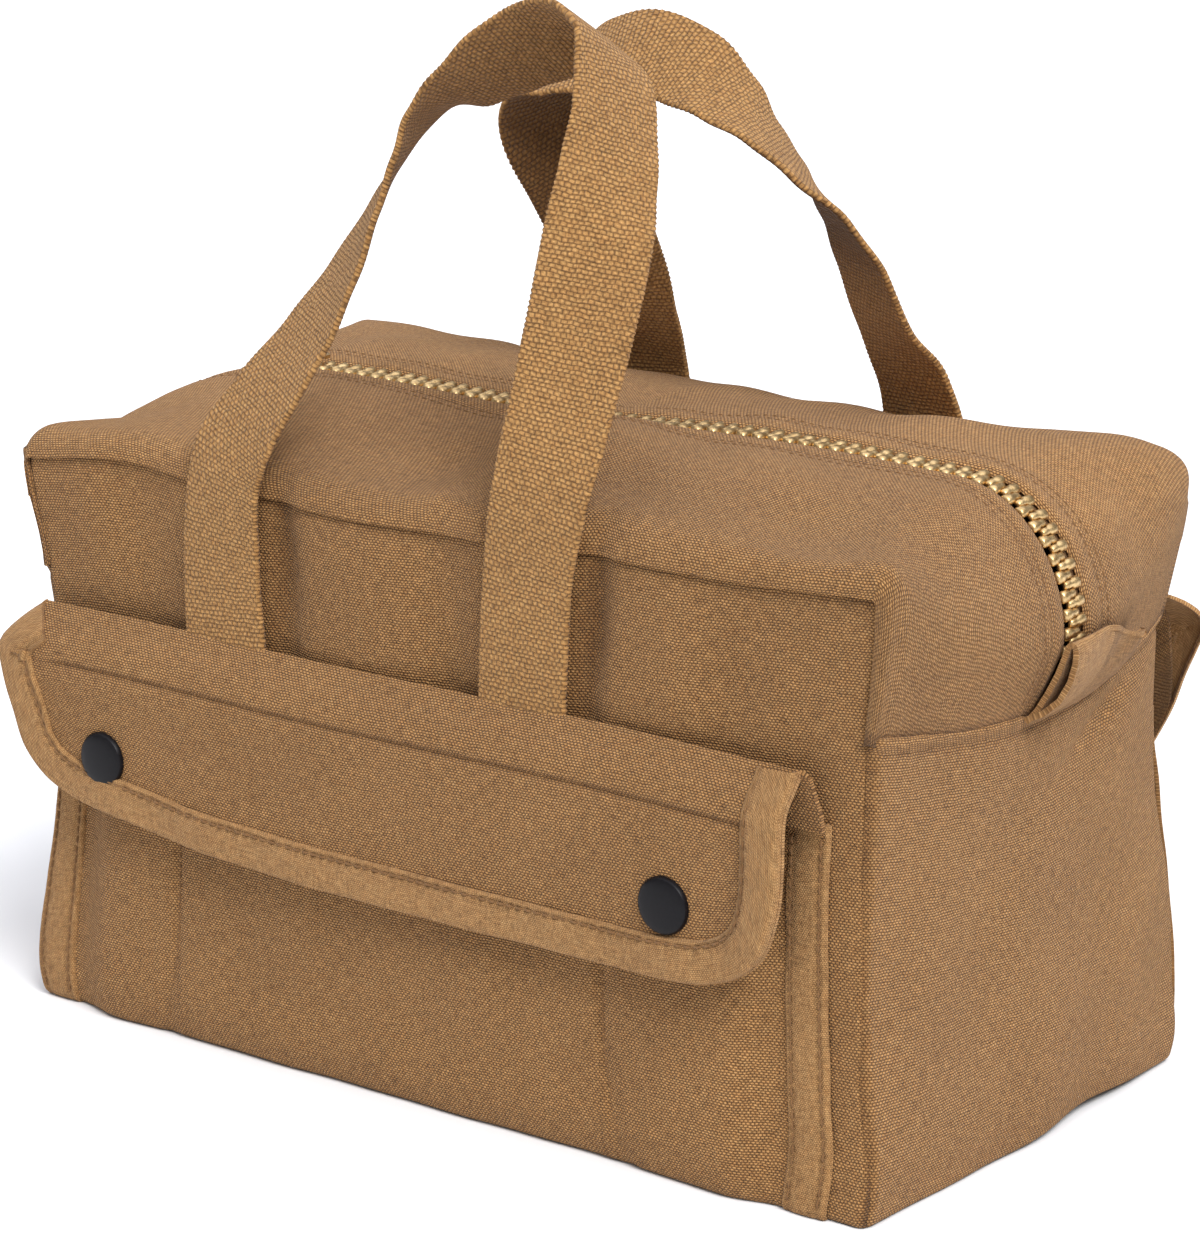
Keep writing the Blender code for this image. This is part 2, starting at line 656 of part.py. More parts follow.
def make_snaps(side, turn):
    """Cap and socket ride on the flap; stud and eyelet stay on the pocket."""
    hinge = (0, -FLAP_HINGE_Y, FLAP_HINGE_Z)
    outer = FLAP_INNER_Y + FLAP_THICKNESS + GAP
    cap = ((0, outer + 2.6), (4.2, outer + 2.3), (7.2, outer + 1.3), (8.0, outer + 0.4))
    cap += ((7.6, outer), (1.8, outer), (1.8, outer - 2.5), (0, outer - 2.5))
    low = FLAP_INNER_Y - GAP
    socket = ((6.2, low), (6.2, low - 1.3), (4.6, low - 2.4), (2.7, low - 2.4), (2.7, low))
    for k, (x, z) in enumerate(SNAPS):
        number = str(k + 1)
        centre = (x, 0, z)
        turned(f"{side}_snap_cap_{number}", cap, centre, turn, hinge, BLACK)
        turned(f"{side}_snap_socket_{number}", socket, centre, turn, hinge, BRASS, 1.0)
        skin = max(pocket_y(x + dx, z + dz) for dx in (-6, 6) for dz in (-6, 6)) + 0.3
        stud = ((0, skin + 3.4), (1.6, skin + 3.4), (2.1, skin + 2.7), (1.6, skin + 1.9))
        stud += ((1.6, skin + 1.0), (5.6, skin + 0.8), (5.6, skin), (0, skin))
        turned(f"{side}_snap_stud_{number}", stud, centre, turn, (0, 0, 0), BRASS, 1.0)
        back = min(pocket_y(x + dx, z + dz) for dx in (-5, 5) for dz in (-5, 5)) - CANVAS - 0.3
        eyelet = ((0, skin - 0.3), (1.7, skin - 0.3), (1.7, back), (4.8, back), (4.8, back - 0.8))
        eyelet += ((0, back - 0.8),)
        turned(f"{side}_snap_eyelet_{number}", eyelet, centre, turn, (0, 0, 0), BRASS, 1.0)


clear_scene()
parts = new_collection("canvas_carry_bag")
tools = new_collection("cutters")
make_panels()
make_strips()
make_tapes()
make_teeth()
make_pull(make_slider())
make_end_tabs()
make_handles()
for index, (face_name, _) in enumerate(SIDES):
    half_turn = pi * index
    holes = snap_cutters(face_name, half_turn)
    make_pocket(face_name, half_turn, holes)
    make_flap(face_name, half_turn, holes)
    make_snaps(face_name, half_turn)
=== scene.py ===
"""The looks of a small canvas carry bag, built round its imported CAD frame.

Lengths in this script are millimetres until a mesh is made. The front face is at -Y, +Z is up.
Pieces of the pocket side are written for the front and turned half round for the back.
"""

from functools import partial

import bpy
import numpy as np
from mathutils import Euler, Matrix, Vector


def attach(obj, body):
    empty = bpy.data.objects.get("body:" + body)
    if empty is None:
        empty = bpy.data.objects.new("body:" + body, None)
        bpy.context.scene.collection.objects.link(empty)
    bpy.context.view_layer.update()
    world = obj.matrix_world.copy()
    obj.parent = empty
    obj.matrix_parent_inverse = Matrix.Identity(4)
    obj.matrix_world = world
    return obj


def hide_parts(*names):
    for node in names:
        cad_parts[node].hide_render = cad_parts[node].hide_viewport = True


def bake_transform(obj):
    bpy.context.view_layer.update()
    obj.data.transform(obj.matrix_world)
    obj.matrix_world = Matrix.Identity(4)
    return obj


MM = 0.001
PI = np.pi
INSIDE_TONE = 0.9  # how light the inner face of a cloth is beside its outer face
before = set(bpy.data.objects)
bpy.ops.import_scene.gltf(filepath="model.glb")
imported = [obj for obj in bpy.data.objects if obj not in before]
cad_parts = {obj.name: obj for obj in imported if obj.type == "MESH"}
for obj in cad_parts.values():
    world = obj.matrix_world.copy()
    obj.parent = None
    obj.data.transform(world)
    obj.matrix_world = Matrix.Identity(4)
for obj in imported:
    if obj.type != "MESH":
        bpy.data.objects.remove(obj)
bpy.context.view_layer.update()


# ---- numbers and shapes ----


def curve(*points):
    """A smooth function through (position, value) pairs, flat beyond both ends."""
    xs = np.array([p[0] for p in points], float)
    ys = np.array([p[1] for p in points], float)
    slopes = np.gradient(ys, xs)

    def at(x):
        x = np.clip(np.asarray(x, float), xs[0], xs[-1])
        k = np.clip(np.searchsorted(xs, x) - 1, 0, len(xs) - 2)
        h = xs[k + 1] - xs[k]
        t = (x - xs[k]) / h
        rise = (3 - 2 * t) * t * t
        bend = t * (t - 1) * h * ((t - 1) * slopes[k] + t * slopes[k + 1])
        return ys[k] + (ys[k + 1] - ys[k]) * rise + bend

    return at


def ease(t):
    """A soft step from 0 to 1 while t goes from 0 to 1."""
    t = np.clip(t, 0, 1)
    return t * t * (3 - 2 * t)


def hill(value, middle, width):
    """A soft bump of height 1 where value is near middle."""
    return np.exp(-((value - middle) / width) ** 2)


def swells(a, b, *spots):
    """Soft oval swellings: (a, b, half length, half width, turn in degrees, height)."""
    total = np.zeros(np.broadcast(a, b).shape)
    for a0, b0, along, across, turn, height in spots:
        c, s = np.cos(np.radians(turn)), np.sin(np.radians(turn))
        u = ((a - a0) * c + (b - b0) * s) / along
        v = ((b - b0) * c - (a - a0) * s) / across
        total = total + height * np.exp(-u * u - v * v)
    return total


def ripple(a, b, seed, size, height):
    """Unevenness of cloth: a few waves whose directions come from a seed."""
    rng = np.random.default_rng(seed)
    total = np.zeros(np.broadcast(a, b).shape)
    for _ in range(9):
        turn, phase = rng.uniform(0, 2 * PI, 2)
        length = size * rng.uniform(0.6, 1.7)
        total = total + np.sin((a * np.cos(turn) + b * np.sin(turn)) * 2 * PI / length + phase)
    return height * total / 3


def stations(low, high, spacing, edge=0.0, fine=0.6):
    """Evenly spaced stations, closer together within edge of both ends."""
    if not edge:
        return np.linspace(low, high, max(2, int(round((high - low) / spacing)) + 1))
    inner = stations(low + edge, high - edge, spacing)
    near = np.arange(0, edge, fine)
    return np.concatenate([low + near, inner, (high - near)[::-1]])


def points(x, y, z):
    return np.stack(np.broadcast_arrays(x, y, z), axis=-1).astype(float)


def normals(grid):
    """Unit normals of a grid of points, outward where its columns x its rows look outward."""
    along = np.gradient(grid, axis=1)
    up = np.gradient(grid, axis=0)
    n = np.cross(along, up)
    return n / (np.linalg.norm(n, axis=-1, keepdims=True) + 1e-9)


def cloth_lengths(grid):
    """UVs in metres along the cloth itself, so that a weave keeps its size."""
    row, column = grid.shape[0] // 2, grid.shape[1] // 2
    step_u = np.linalg.norm(np.diff(grid, axis=1), axis=-1)
    step_v = np.linalg.norm(np.diff(grid, axis=0), axis=-1)
    u = np.concatenate([np.zeros((grid.shape[0], 1)), np.cumsum(step_u, axis=1)], axis=1)
    u -= u[:, column:column + 1]
    v = np.concatenate([[0], np.cumsum(step_v[:, column])])[:, None] - 0 * u
    v = v - v[row:row + 1]
    return np.stack([u, v], axis=-1).reshape(-1, 2) * MM


def make_mesh(name, verts, faces, material, uvs=None, tones=None, sharp=55.0, turn=False):
    """A piece from millimetre points; turn swings it half round, from the front to the back."""
    verts = np.asarray(verts, float) * MM
    if turn:
        verts = verts * np.array([-1, -1, 1])
    mesh = bpy.data.meshes.new(name)
    mesh.from_pydata(verts.tolist(), [], faces)
    if uvs is not None:
        layer = mesh.uv_layers.new(name="cloth")
        corner = np.zeros(len(mesh.loops), np.int32)
        mesh.loops.foreach_get("vertex_index", corner)
        layer.data.foreach_set("uv", np.asarray(uvs, np.float32)[corner].ravel())
    if tones is not None:
        tone = mesh.attributes.new("tone", "FLOAT", "POINT")
        tone.data.foreach_set("value", np.asarray(tones, np.float32))
    mesh.shade_smooth()
    mesh.set_sharp_from_angle(angle=np.radians(sharp))
    piece = bpy.data.objects.new(name, mesh)
    bpy.context.scene.collection.objects.link(piece)
    mesh.materials.append(material)
    return piece


def quads(rows, columns, start=0, flip=False):
    index = np.arange(rows * columns).reshape(rows, columns) + start
    faces = np.stack([index[:-1, :-1], index[:-1, 1:], index[1:, 1:], index[1:, :-1]], axis=-1)
    faces = faces.reshape(-1, 4)
    return (faces[:, ::-1] if flip else faces).tolist()


def cloth(name, grid, material, thickness=1.5, tone=None, turn=False):
    """A closed piece of cloth with the grid as its outer face; tone paints shade and light on it.
    """
    rows, columns = grid.shape[:2]
    inner = grid - normals(grid) * thickness
    count = rows * columns
    faces = quads(rows, columns) + quads(rows, columns, count, flip=True)
    index = np.arange(count).reshape(rows, columns)
    loop = np.concatenate([index[0, :-1], index[:-1, -1], index[-1, :0:-1], index[:0:-1, 0]])
    after = np.roll(loop, -1)
    rim = np.stack([loop, loop + count, after + count, after], axis=-1)
    faces += rim.tolist()
    uv = cloth_lengths(grid)
    tone = np.ones((rows, columns)) if tone is None else tone
    tones = np.concatenate([tone.ravel(), tone.ravel() * INSIDE_TONE])
    verts = np.concatenate([grid.reshape(-1, 3), inner.reshape(-1, 3)])
    return make_mesh(name, verts, faces, material, np.concatenate([uv, uv]), tones, turn=turn)


def resample(path, spacing):
    """Points along a path at an even spacing; columns after the third are carried along."""
    gone = np.concatenate([[0], np.cumsum(np.linalg.norm(np.diff(path, axis=0), axis=1))])
    count = max(2, int(gone[-1] / spacing) + 1)
    at = np.linspace(0, gone[-1], count)
    return np.stack([np.interp(at, gone, path[:, k]) for k in range(path.shape[1])], axis=1)


def tube(base, rings, count):
    """Faces of a closed tube of rings of points, whose first point has the index base."""
    faces = []
    for ring in range(rings - 1):
        for m in range(count):
            p, q = base + ring * count + m, base + ring * count + (m + 1) % count
            faces.append([p, q, q + count, p + count])
    faces.append([base + m for m in reversed(range(count))])
    faces.append([base + (rings - 1) * count + m for m in range(count)])
    return faces


STITCH_PITCH, STITCH_RADIUS, STITCH_SIDES = 3.2, 0.34, 6
STITCH_SAMPLES = 8  # points of the path from the start of one stitch to the start of the next
STITCH_RINGS = ((0, -0.5, 0.6), (2, 0.1, 0.95), (3, 0.28, 1.0), (4, 0.1, 0.95), (6, -0.5, 0.6))


def stitches(name, lines, material, turn=False):
    """Rows of sewn stitches, each an arc with sunk ends. A line is (path, outward directions)."""
    verts, faces = [], []
    sides = STITCH_SIDES
    last = (len(STITCH_RINGS) - 1) * sides
    for path, outward in lines:
        outward = np.broadcast_to(np.asarray(outward, float), path.shape)
        both = resample(np.concatenate([path, outward], axis=1), STITCH_PITCH / STITCH_SAMPLES)
        for first in range(2, len(both) - 7, STITCH_SAMPLES):
            span = both[first:first + 7]
            along = span[-1, :3] - span[0, :3]
            along = along / (np.linalg.norm(along) + 1e-9)
            up = span[3, 3:]
            side = np.cross(along, up)
            base = len(verts)
            for sample, rise, size in STITCH_RINGS:
                place = span[sample, :3] + up * (rise * STITCH_RADIUS * 1.4)
                for m in range(sides):
                    angle = 2 * m * PI / sides
                    ring = side * np.cos(angle) + up * np.sin(angle)
                    verts.append(place + ring * STITCH_RADIUS * size)
            for start in range(base, base + last, sides):
                for m in range(sides):
                    p, q = start + m, start + (m + 1) % sides
                    faces.append([p, p + sides, q + sides, q])
            faces.append([base + m for m in range(sides)])
            faces.append([base + last + m for m in reversed(range(sides))])
    verts = np.array(verts)
    tones = np.ones(len(verts))
    return make_mesh(name, verts, faces, material, verts[:, :2] * MM, tones, turn=turn)


# ---- materials ----


def new_material(name, roughness, metallic=0.0):
    material = bpy.data.materials.new(name)
    material.use_nodes = True
    tree = material.node_tree
    shader = tree.nodes["Principled BSDF"]
    shader.inputs["Roughness"].default_value = roughness
    shader.inputs["Metallic"].default_value = metallic
    return material, tree, shader


def feed(tree, socket, value):
    """Links another node's output to a socket, or sets the socket to a plain value."""
    if hasattr(value, "links"):
        tree.links.new(value, socket)
    else:
        socket.default_value = value


def node(tree, kind, **inputs):
    """A new shader node; inputs named i0, i1 and so on go by their number."""
    made = tree.nodes.new(kind)
    for name, value in inputs.items():
        key = int(name[1:]) if name[1:].isdigit() else name
        feed(tree, made.inputs[key], value)
    return made


def maths(tree, operation, a, b=0.0, c=0.0):
    made = node(tree, "ShaderNodeMath", i0=a, i1=b, i2=c)
    made.operation = operation
    return made.outputs[0]


def ramp(tree, value, *stops):
    """A colour from a value, through stops of (position, colour)."""
    made = tree.nodes.new("ShaderNodeValToRGB")
    elements = made.color_ramp.elements
    while len(elements) < len(stops):
        elements.new(0.5)
    for element, (position, colour) in zip(elements, stops):
        element.position = position
        element.color = (*colour, 1.0)
    tree.links.new(value, made.inputs["Fac"])
    return made.outputs["Color"]


def blend_colour(tree, operation, share, a, b):
    made = tree.nodes.new("ShaderNodeMix")
    made.data_type = "RGBA"
    made.blend_type = operation
    for index, value in ((0, share), (6, a), (7, b)):
        feed(tree, made.inputs[index], value)
    return made.outputs[2]


def cloth_position(tree):
    """Where a point is on the cloth itself: the vector, its x and its y, in metres."""
    uv = tree.nodes.new("ShaderNodeUVMap")
    uv.uv_map = "cloth"
    split = node(tree, "ShaderNodeSeparateXYZ", Vector=uv.outputs["UV"])
    return uv.outputs["UV"], split.outputs["X"], split.outputs["Y"]


def noise(tree, vector, scale, detail=2.0, roughness=0.5):
    made = node(
        tree, "ShaderNodeTexNoise",
        Vector=vector, Scale=scale, Detail=detail, Roughness=roughness,
    )
    return made.outputs["Fac"]


def streaks(tree, x, y, across, along):
    """Noise drawn out along y: threads that are now thicker, now thinner."""
    squeezed = node(
        tree, "ShaderNodeCombineXYZ",
        X=maths(tree, "MULTIPLY", x, across), Y=maths(tree, "MULTIPLY", y, along),
    )
    return noise(tree, squeezed.outputs["Vector"], 1.0, 1.5, 0.6)


def woven(
    name, colour, pitch, depth, contrast=0.7, slub=0.2, rows=1.0, plateau=1.0, stagger=False,
):
    """Plain-woven cloth: raised threads, painted shade in the pits between them and uneven yarn.

    The pitch and depth of the threads are in millimetres; rows is the height of a thread's bead
    beside its width, and a plateau below 1 makes the bead flatter.
    """
    material, tree, shader = new_material(name, 0.95)
    calc = partial(maths, tree)
    uv, x, y = cloth_position(tree)
    wander = noise(tree, uv, 240.0, 1.0)
    shift = calc("MULTIPLY", calc("SUBTRACT", wander, 0.5), pitch * MM * 0.7)
    x = calc("ADD", x, shift)
    y = calc("SUBTRACT", y, shift)
    u = calc("DIVIDE", x, pitch * MM)
    v = calc("DIVIDE", y, pitch * MM * rows)
    if stagger:
        above_zero = calc("ADD", v, 4000.0)
        row = calc("MODULO", calc("FLOOR", above_zero), 2.0)
        u = calc("ADD", u, calc("MULTIPLY", row, 0.5))
    waves = [calc("ABSOLUTE", calc("SINE", calc("MULTIPLY", t, PI))) for t in (u, v)]
    bead = calc("POWER", calc("MULTIPLY", *waves), plateau)
    warp = streaks(tree, x, y, 1100.0, 260.0)
    weft = streaks(tree, x, y, 260.0, 1100.0)
    fuzz = noise(tree, uv, 1700.0, 2.0, 0.7)
    patch = noise(tree, uv, 26.0, 3.0, 0.55)
    yarn = calc("ADD", calc("ADD", warp, weft), fuzz)
    yarn = calc("SUBTRACT", yarn, 1.5)
    light = calc("MULTIPLY_ADD", yarn, slub * 2.6, 1.0)
    wear = calc("MULTIPLY", calc("SUBTRACT", patch, 0.5), 0.34)
    light = calc("ADD", light, wear)
    # painted shade: the pits between the threads are darkened in the colour
    pits = calc("MULTIPLY_ADD", bead, contrast, 1.0 - contrast * 0.5)
    # tone carries the painted shade and painted highlights set on each piece's points
    tone = node_attribute(tree, "tone")
    value = calc("MULTIPLY", calc("MULTIPLY", light, pits), tone)
    warm = tuple(c * k for c, k in zip(colour, (1.05, 0.95, 0.84)))
    cool = tuple(c * k for c, k in zip(colour, (0.95, 1.04, 1.12)))
    hue = blend_colour(tree, "MIX", noise(tree, uv, 420.0, 2.0, 0.6), (*warm, 1), (*cool, 1))
    shade = node(
        tree, "ShaderNodeCombineColor",
        Red=value, Green=calc("POWER", value, 1.12), Blue=calc("POWER", value, 1.25),
    )
    final = blend_colour(tree, "MULTIPLY", 1.0, hue, shade.outputs["Color"])
    tree.links.new(final, shader.inputs["Base Color"])
    height = calc("ADD", bead, calc("MULTIPLY", yarn, 0.8))
    bump = node(tree, "ShaderNodeBump", Strength=1.0, Distance=depth * MM, Height=height)
    tree.links.new(bump.outputs["Normal"], shader.inputs["Normal"])
    shader.inputs["Sheen Weight"].default_value = 0.09
    shader.inputs["Sheen Roughness"].default_value = 0.6
    shader.inputs["Specular IOR Level"].default_value = 0.12
    return material


def node_attribute(tree, name):
    made = tree.nodes.new("ShaderNodeAttribute")
    made.attribute_name = name
    return made.outputs["Fac"]


def metal(name, bright, dull, roughness, scale):
    """Rubbed metal: tarnish in soft patches and fine scratches in its roughness."""
    material, tree, shader = new_material(name, roughness, 1.0)
    place = tree.nodes.new("ShaderNodeTexCoord").outputs["Object"]
    stain = noise(tree, place, scale, 4.0, 0.65)
    colour = ramp(tree, stain, (0.3, dull), (0.62, bright))
    tree.links.new(colour, shader.inputs["Base Color"])
    scratch = noise(tree, place, scale * 4, 3.0, 0.6)
    rub = maths(tree, "MULTIPLY_ADD", scratch, 0.3, roughness - 0.12)
    tree.links.new(rub, shader.inputs["Roughness"])
    bump = node(tree, "ShaderNodeBump", Strength=0.35, Distance=0.00006, Height=stain)
    tree.links.new(bump.outputs["Normal"], shader.inputs["Normal"])
    return material


def enamel(name, colour):
    material, tree, shader = new_material(name, 0.42)
    place = tree.nodes.new("ShaderNodeTexCoord").outputs["Object"]
    speck = noise(tree, place, 900.0, 3.0, 0.6)
    lighter = tuple(c * 1.6 + 0.001 for c in colour)
    tree.links.new(ramp(tree, speck, (0.35, colour), (0.75, lighter)), shader.inputs["Base Color"])
    tree.links.new(maths(tree, "MULTIPLY_ADD", speck, 0.25, 0.3), shader.inputs["Roughness"])
    bump = node(tree, "ShaderNodeBump", Strength=0.25, Distance=0.00005, Height=speck)
    tree.links.new(bump.outputs["Normal"], shader.inputs["Normal"])
    shader.inputs["Specular IOR Level"].default_value = 0.2
    return material


CANVAS = woven(
    "canvas", (0.300, 0.151, 0.0525), 1.2, 0.36,
    contrast=1.4, slub=0.34, rows=0.62, plateau=0.8, stagger=True,
)
WEBBING = woven(
    "webbing", (0.304, 0.156, 0.0525), 1.8, 0.46,
    contrast=1.0, slub=0.34, rows=0.72, plateau=0.5, stagger=True,
)
BINDING = woven(
    "binding", (0.342, 0.183, 0.070), 0.8, 0.16, contrast=0.7, slub=0.34, rows=0.7, stagger=True,
)
TAPE = woven("zip_tape", (0.15, 0.078, 0.032), 0.8, 0.12, contrast=0.4)
THREAD = woven("thread", (0.20, 0.102, 0.041), 0.5, 0.05, contrast=0.2, slub=0.15)
BRASS = metal("brass", (0.80, 0.57, 0.28), (0.46, 0.29, 0.12), 0.36, 420.0)
CAP_BLACK = enamel("snap_cap", (0.003, 0.0024, 0.0034))


# ---- the body ----

HALF_LENGTH = 150  # from the bag's middle to the faces' nominal ends; the EDGE curves move them

# How far out along X the upright edges lie, and along Y the faces' corners, at each height
RIGHT_EDGE = curve(
    (0, 152), (12, 152.5), (35, 149), (77, 146.2), (104, 146), (146, 148), (165, 150.5),
    (180, 152),
)
BACK_RIGHT_EDGE = curve(
    (0, 150), (8, 151.5), (30, 152.6), (58, 151), (85, 148.6), (110, 146.6), (146, 148),
    (165, 150.5), (180, 152),
)
LEFT_EDGE = curve(
    (0, 152.6), (13, 154.8), (37, 151.6), (63, 147.2), (95, 146.2), (125, 148), (147, 151),
    (162, 154), (180, 155),
)
CORNER_DEPTH = curve(
    (0, 77.6), (25, 77.0), (55, 75), (90, 73.6), (125, 73.8), (155, 75.6), (180, 76.5),
)
# Heights along X of the seams between faces and strips, of the zip, and how far the back bulges
TOP_SEAM = curve(
    (-152, 171.8), (-121, 175.3), (-89, 173.5), (-60, 172), (-25, 170.6), (10, 171), (55, 172.5),
    (110, 173), (150, 174.5),
)
BACK_SEAM = curve(
    (-163, 180), (-127, 182), (-90, 182), (-55, 180.5), (-16, 179), (50, 178), (78, 178.5),
    (136, 180.5), (150, 178.5),
)
BACK_FULLER = curve(
    (0, 3), (12, 5.5), (31, 5.5), (51, 4), (70, 2.6), (96, 1), (125, 0.5), (150, 1.5), (167, 3),
    (180, 2.5),
)
ZIP_LINE = curve(
    (-130, 190.4), (-106, 191.6), (-73, 191.8), (-34, 190.6), (10, 190.2), (52, 192.2),
    (92, 192.0), (115, 190.9), (130, 190.2),
)
# Along Y: how far the top sinks at the left end, and the height of the end panels' seam
LEFT_DIP = curve(
    (-82, 0.4), (-70, 0.9), (-58, 3.0), (-48, 5.6), (-38, 4.6), (-26, 2.8), (0, 2.0), (35, 1.6),
    (60, -0.4), (80, -1.4),
)
END_SEAM = curve(
    (-76, 134.5), (-71, 133.6), (-47, 130.4), (-22, 128.2), (0, 127.8), (33, 130), (58, 134.5),
    (70, 137), (76, 138),
)
# Folds, and painted shade, as swells() takes them
FRONT_FOLDS = (
    (-104, 146, 13, 30, 8, -2.6), (-53, 148, 5, 34, 3, -4.0), (-26, 150, 18, 24, 0, 2.2),
    (8, 140, 12, 30, 5, -3.4), (57, 148, 5, 34, -4, -4.4), (82, 152, 14, 24, 16, 1.8),
    (108, 146, 10, 26, -24, -1.8), (128, 140, 9, 26, 5, -1.2), (-96, 132, 20, 9, 0, 0.8),
    (92, 132, 20, 8, 0, 1.0), (-128, 156, 9, 20, 0, 1.2),
)
BACK_FOLDS = (
    (-100, 146, 20, 26, -12, -1.6), (10, 150, 26, 20, 10, 1.4), (110, 146, 12, 26, 20, -1.4),
)
# painted shadows beside the handle's two legs and painted shade in the fold at the top right corner
FRONT_PAINTED_SHADE = (
    (55.5, 148, 3.6, 30, -4, 0.36), (-54.8, 150, 3.2, 30, -3, 0.30), (150, 172, 14, 3, 0, 0.3),
)
END_FOLDS = (
    (-30, 70, 14, 40, 14, -1.3), (34, 60, 16, 36, -16, -1.2), (2, 30, 26, 16, 0, 1.0),
    (46, 112, 22, 9, 28, 1.4), (-48, 104, 20, 10, -18, 1.0), (10, 104, 34, 7, 8, -1.2),
    (40, 120, 16, 3, 24, -1.6), (28, 113, 20, 3, 22, -1.2),
)


def rolled(distance, radius):
    """How far a rounded edge falls back at a distance in from its rim."""
    t = np.clip(1 - np.asarray(distance, float) / radius, 0, 1)
    return radius * (1 - np.sqrt(np.clip(1 - t * t, 0, 1)))


def bent_x(x, z, side):
    """Where a point of a face lies along X, once the bag's upright edges are drawn in."""
    right, left = (RIGHT_EDGE, LEFT_EDGE) if side == "front" else (LEFT_EDGE, BACK_RIGHT_EDGE)
    edge = np.where(x > 0, right(z), left(z))
    return x * (1 + (edge / HALF_LENGTH - 1) * np.abs(x / HALF_LENGTH) ** 3)


def corner_depth(z, side):
    return CORNER_DEPTH(z) + (BACK_FULLER(z) if side == "back" else 0)


def splay(x, z, side):
    """How far the foot of the front face spreads at its right corner and draws in at its left."""
    spread = 2.6 * np.exp(-z / 16) * ease((x - 50) / 80)
    drawn_in = 2.4 * np.exp(-z / 10) * ease((-x - 115) / 35)
    return (spread - drawn_in) * (side == "front")


def face_depth(x, z, side):
    """How far out along Y the cloth of the front or back face lies."""
    corner = corner_depth(z, side)
    flat = 1 - np.abs(x / HALF_LENGTH) ** 4
    depth = corner + (76.4 - corner) * flat
    depth = depth + 1.8 * np.clip(np.cos(PI * x / 305), 0, 1) * np.sin(PI * np.clip(z / 177, 0, 1))
    depth = depth + splay(x, z, side)
    folds = FRONT_FOLDS if side == "front" else BACK_FOLDS
    calm = ease((z - 110) / 12)
    uneven = ripple(x, z, 3 if side == "front" else 4, 58, 0.55)
    return depth + swells(x, z, *folds) * calm + uneven * calm


def face_grid(side):
    """The cloth of the front or back face, with its seams turned in, and its tone."""
    seam = TOP_SEAM if side == "front" else BACK_SEAM
    u = stations(-HALF_LENGTH, HALF_LENGTH, 3.0, 4.0)[None, :]
    v = stations(0, 1, 0.018, 0.02, 0.004)[:, None]
    z = 0.4 + v * (seam(u if side == "front" else -u) + 1.2)
    x = bent_x(u, z, side)
    down = z[-1:, :] - z
    inward = HALF_LENGTH - np.abs(u)
    depth = face_depth(u, z, side)
    depth = depth + 1.8 * hill(z, 5, 12)
    depth = depth - rolled(inward, 2.6) - rolled(z, 2.4) * 0.9 - 1.6 * hill(down, 0, 2.6)
    # painted shade in the seams at the upright edges and along the top edge
    seen = ease((u + 140) / 8) if side == "front" else 1.0
    tone = 0.95 - (0.62 * hill(inward, 0, 0.9) + 0.7 * hill(down, 0, 1.3)) * seen
    if side == "front":
        # painted shadows beside the handle's legs and painted shade in the top right corner's fold
        tone = tone - swells(u, z, *FRONT_PAINTED_SHADE)
    # the tone adds a painted highlight on the roll just inside each upright seam
    return points(x, -depth, z), tone + 0.05 * hill(inward, 3.2, 1.2)


def end_face(a, z, side):
    """Outermost x of an end panel at share a across it (-1 to 1) and height z."""
    edge = LEFT_EDGE(z)
    if side == "right":
        edge = RIGHT_EDGE(z) + (BACK_RIGHT_EDGE(z) - RIGHT_EDGE(z)) * ease((a + 1) / 2)
    rise = 0.25 + 0.75 * np.sin(PI / 2 * np.clip(z / 124, 0, 1)) ** 1.2
    bulge = 8.0 * np.clip(np.cos(PI * a / 2), 0, 1) ** 0.8 * rise
    return edge + 1.0 + bulge + 2.4 * hill(z, 4, 14) * ease(a + 0.8)


def end_grid(side):
    """The lower end panel, whose folded top lip lies over the strips above it."""
    flip = 1 if side == "right" else -1
    a = stations(-1, 1, 0.045, 0.05, 0.009)[None, :]
    v = stations(0, 1, 0.02, 0.06, 0.006)[:, None]
    y = a * 75.6
    z = 0.4 + v * (END_SEAM(y * flip) + 0.4)
    front = corner_depth(z, "front") + splay(150.0 if side == "right" else -150.0, z, "front")
    corner = np.where(a > 0, corner_depth(z, "back"), front)
    y = a * corner
    inward = (1 - np.abs(a)) * corner
    x = end_face(a, z, side) - rolled(inward, 2.6) - rolled(z, 2.4) * 0.9
    x = x + swells(y, z, *END_FOLDS)
    x = x + ripple(y, z, 8 if side == "right" else 9, 52, 0.6)
    down = z[-1:, :] - z
    lip = 1.1 * hill(down, 1.5, 1.7) - 0.5 * hill(down, 5.0, 1.1)
    x = x + lip - rolled(down, 1.2)
    # painted shade at the side seams and under the folded lip, with a painted highlight on the
    # lip's roll
    tone = 1 - 0.35 * np.exp(-inward / 1.0) + 0.10 * hill(down, 1.2, 1.2)
    tone = tone - 0.16 * hill(down, 5.2, 0.9)
    grid = points(x, y, z + 2.4 * hill(a, 0.4, 0.35) * np.exp(-z / 12))
    if side == "left":
        grid = grid[:, ::-1] * np.array([-1, 1, 1])
        tone = tone[:, ::-1]
    return grid, tone


def bottom_grid():
    x = stations(-149, 149, 6.0, 6.0, 1.5)[None, :]
    y = stations(73.0, -73.0, -6.0)[:, None]
    inward = np.minimum(149 - np.abs(x), 73 - np.abs(y))
    z = 0.02 + 1.6 * np.clip(1 - inward / 5, 0, 1) ** 2
    return points(x, y, z)


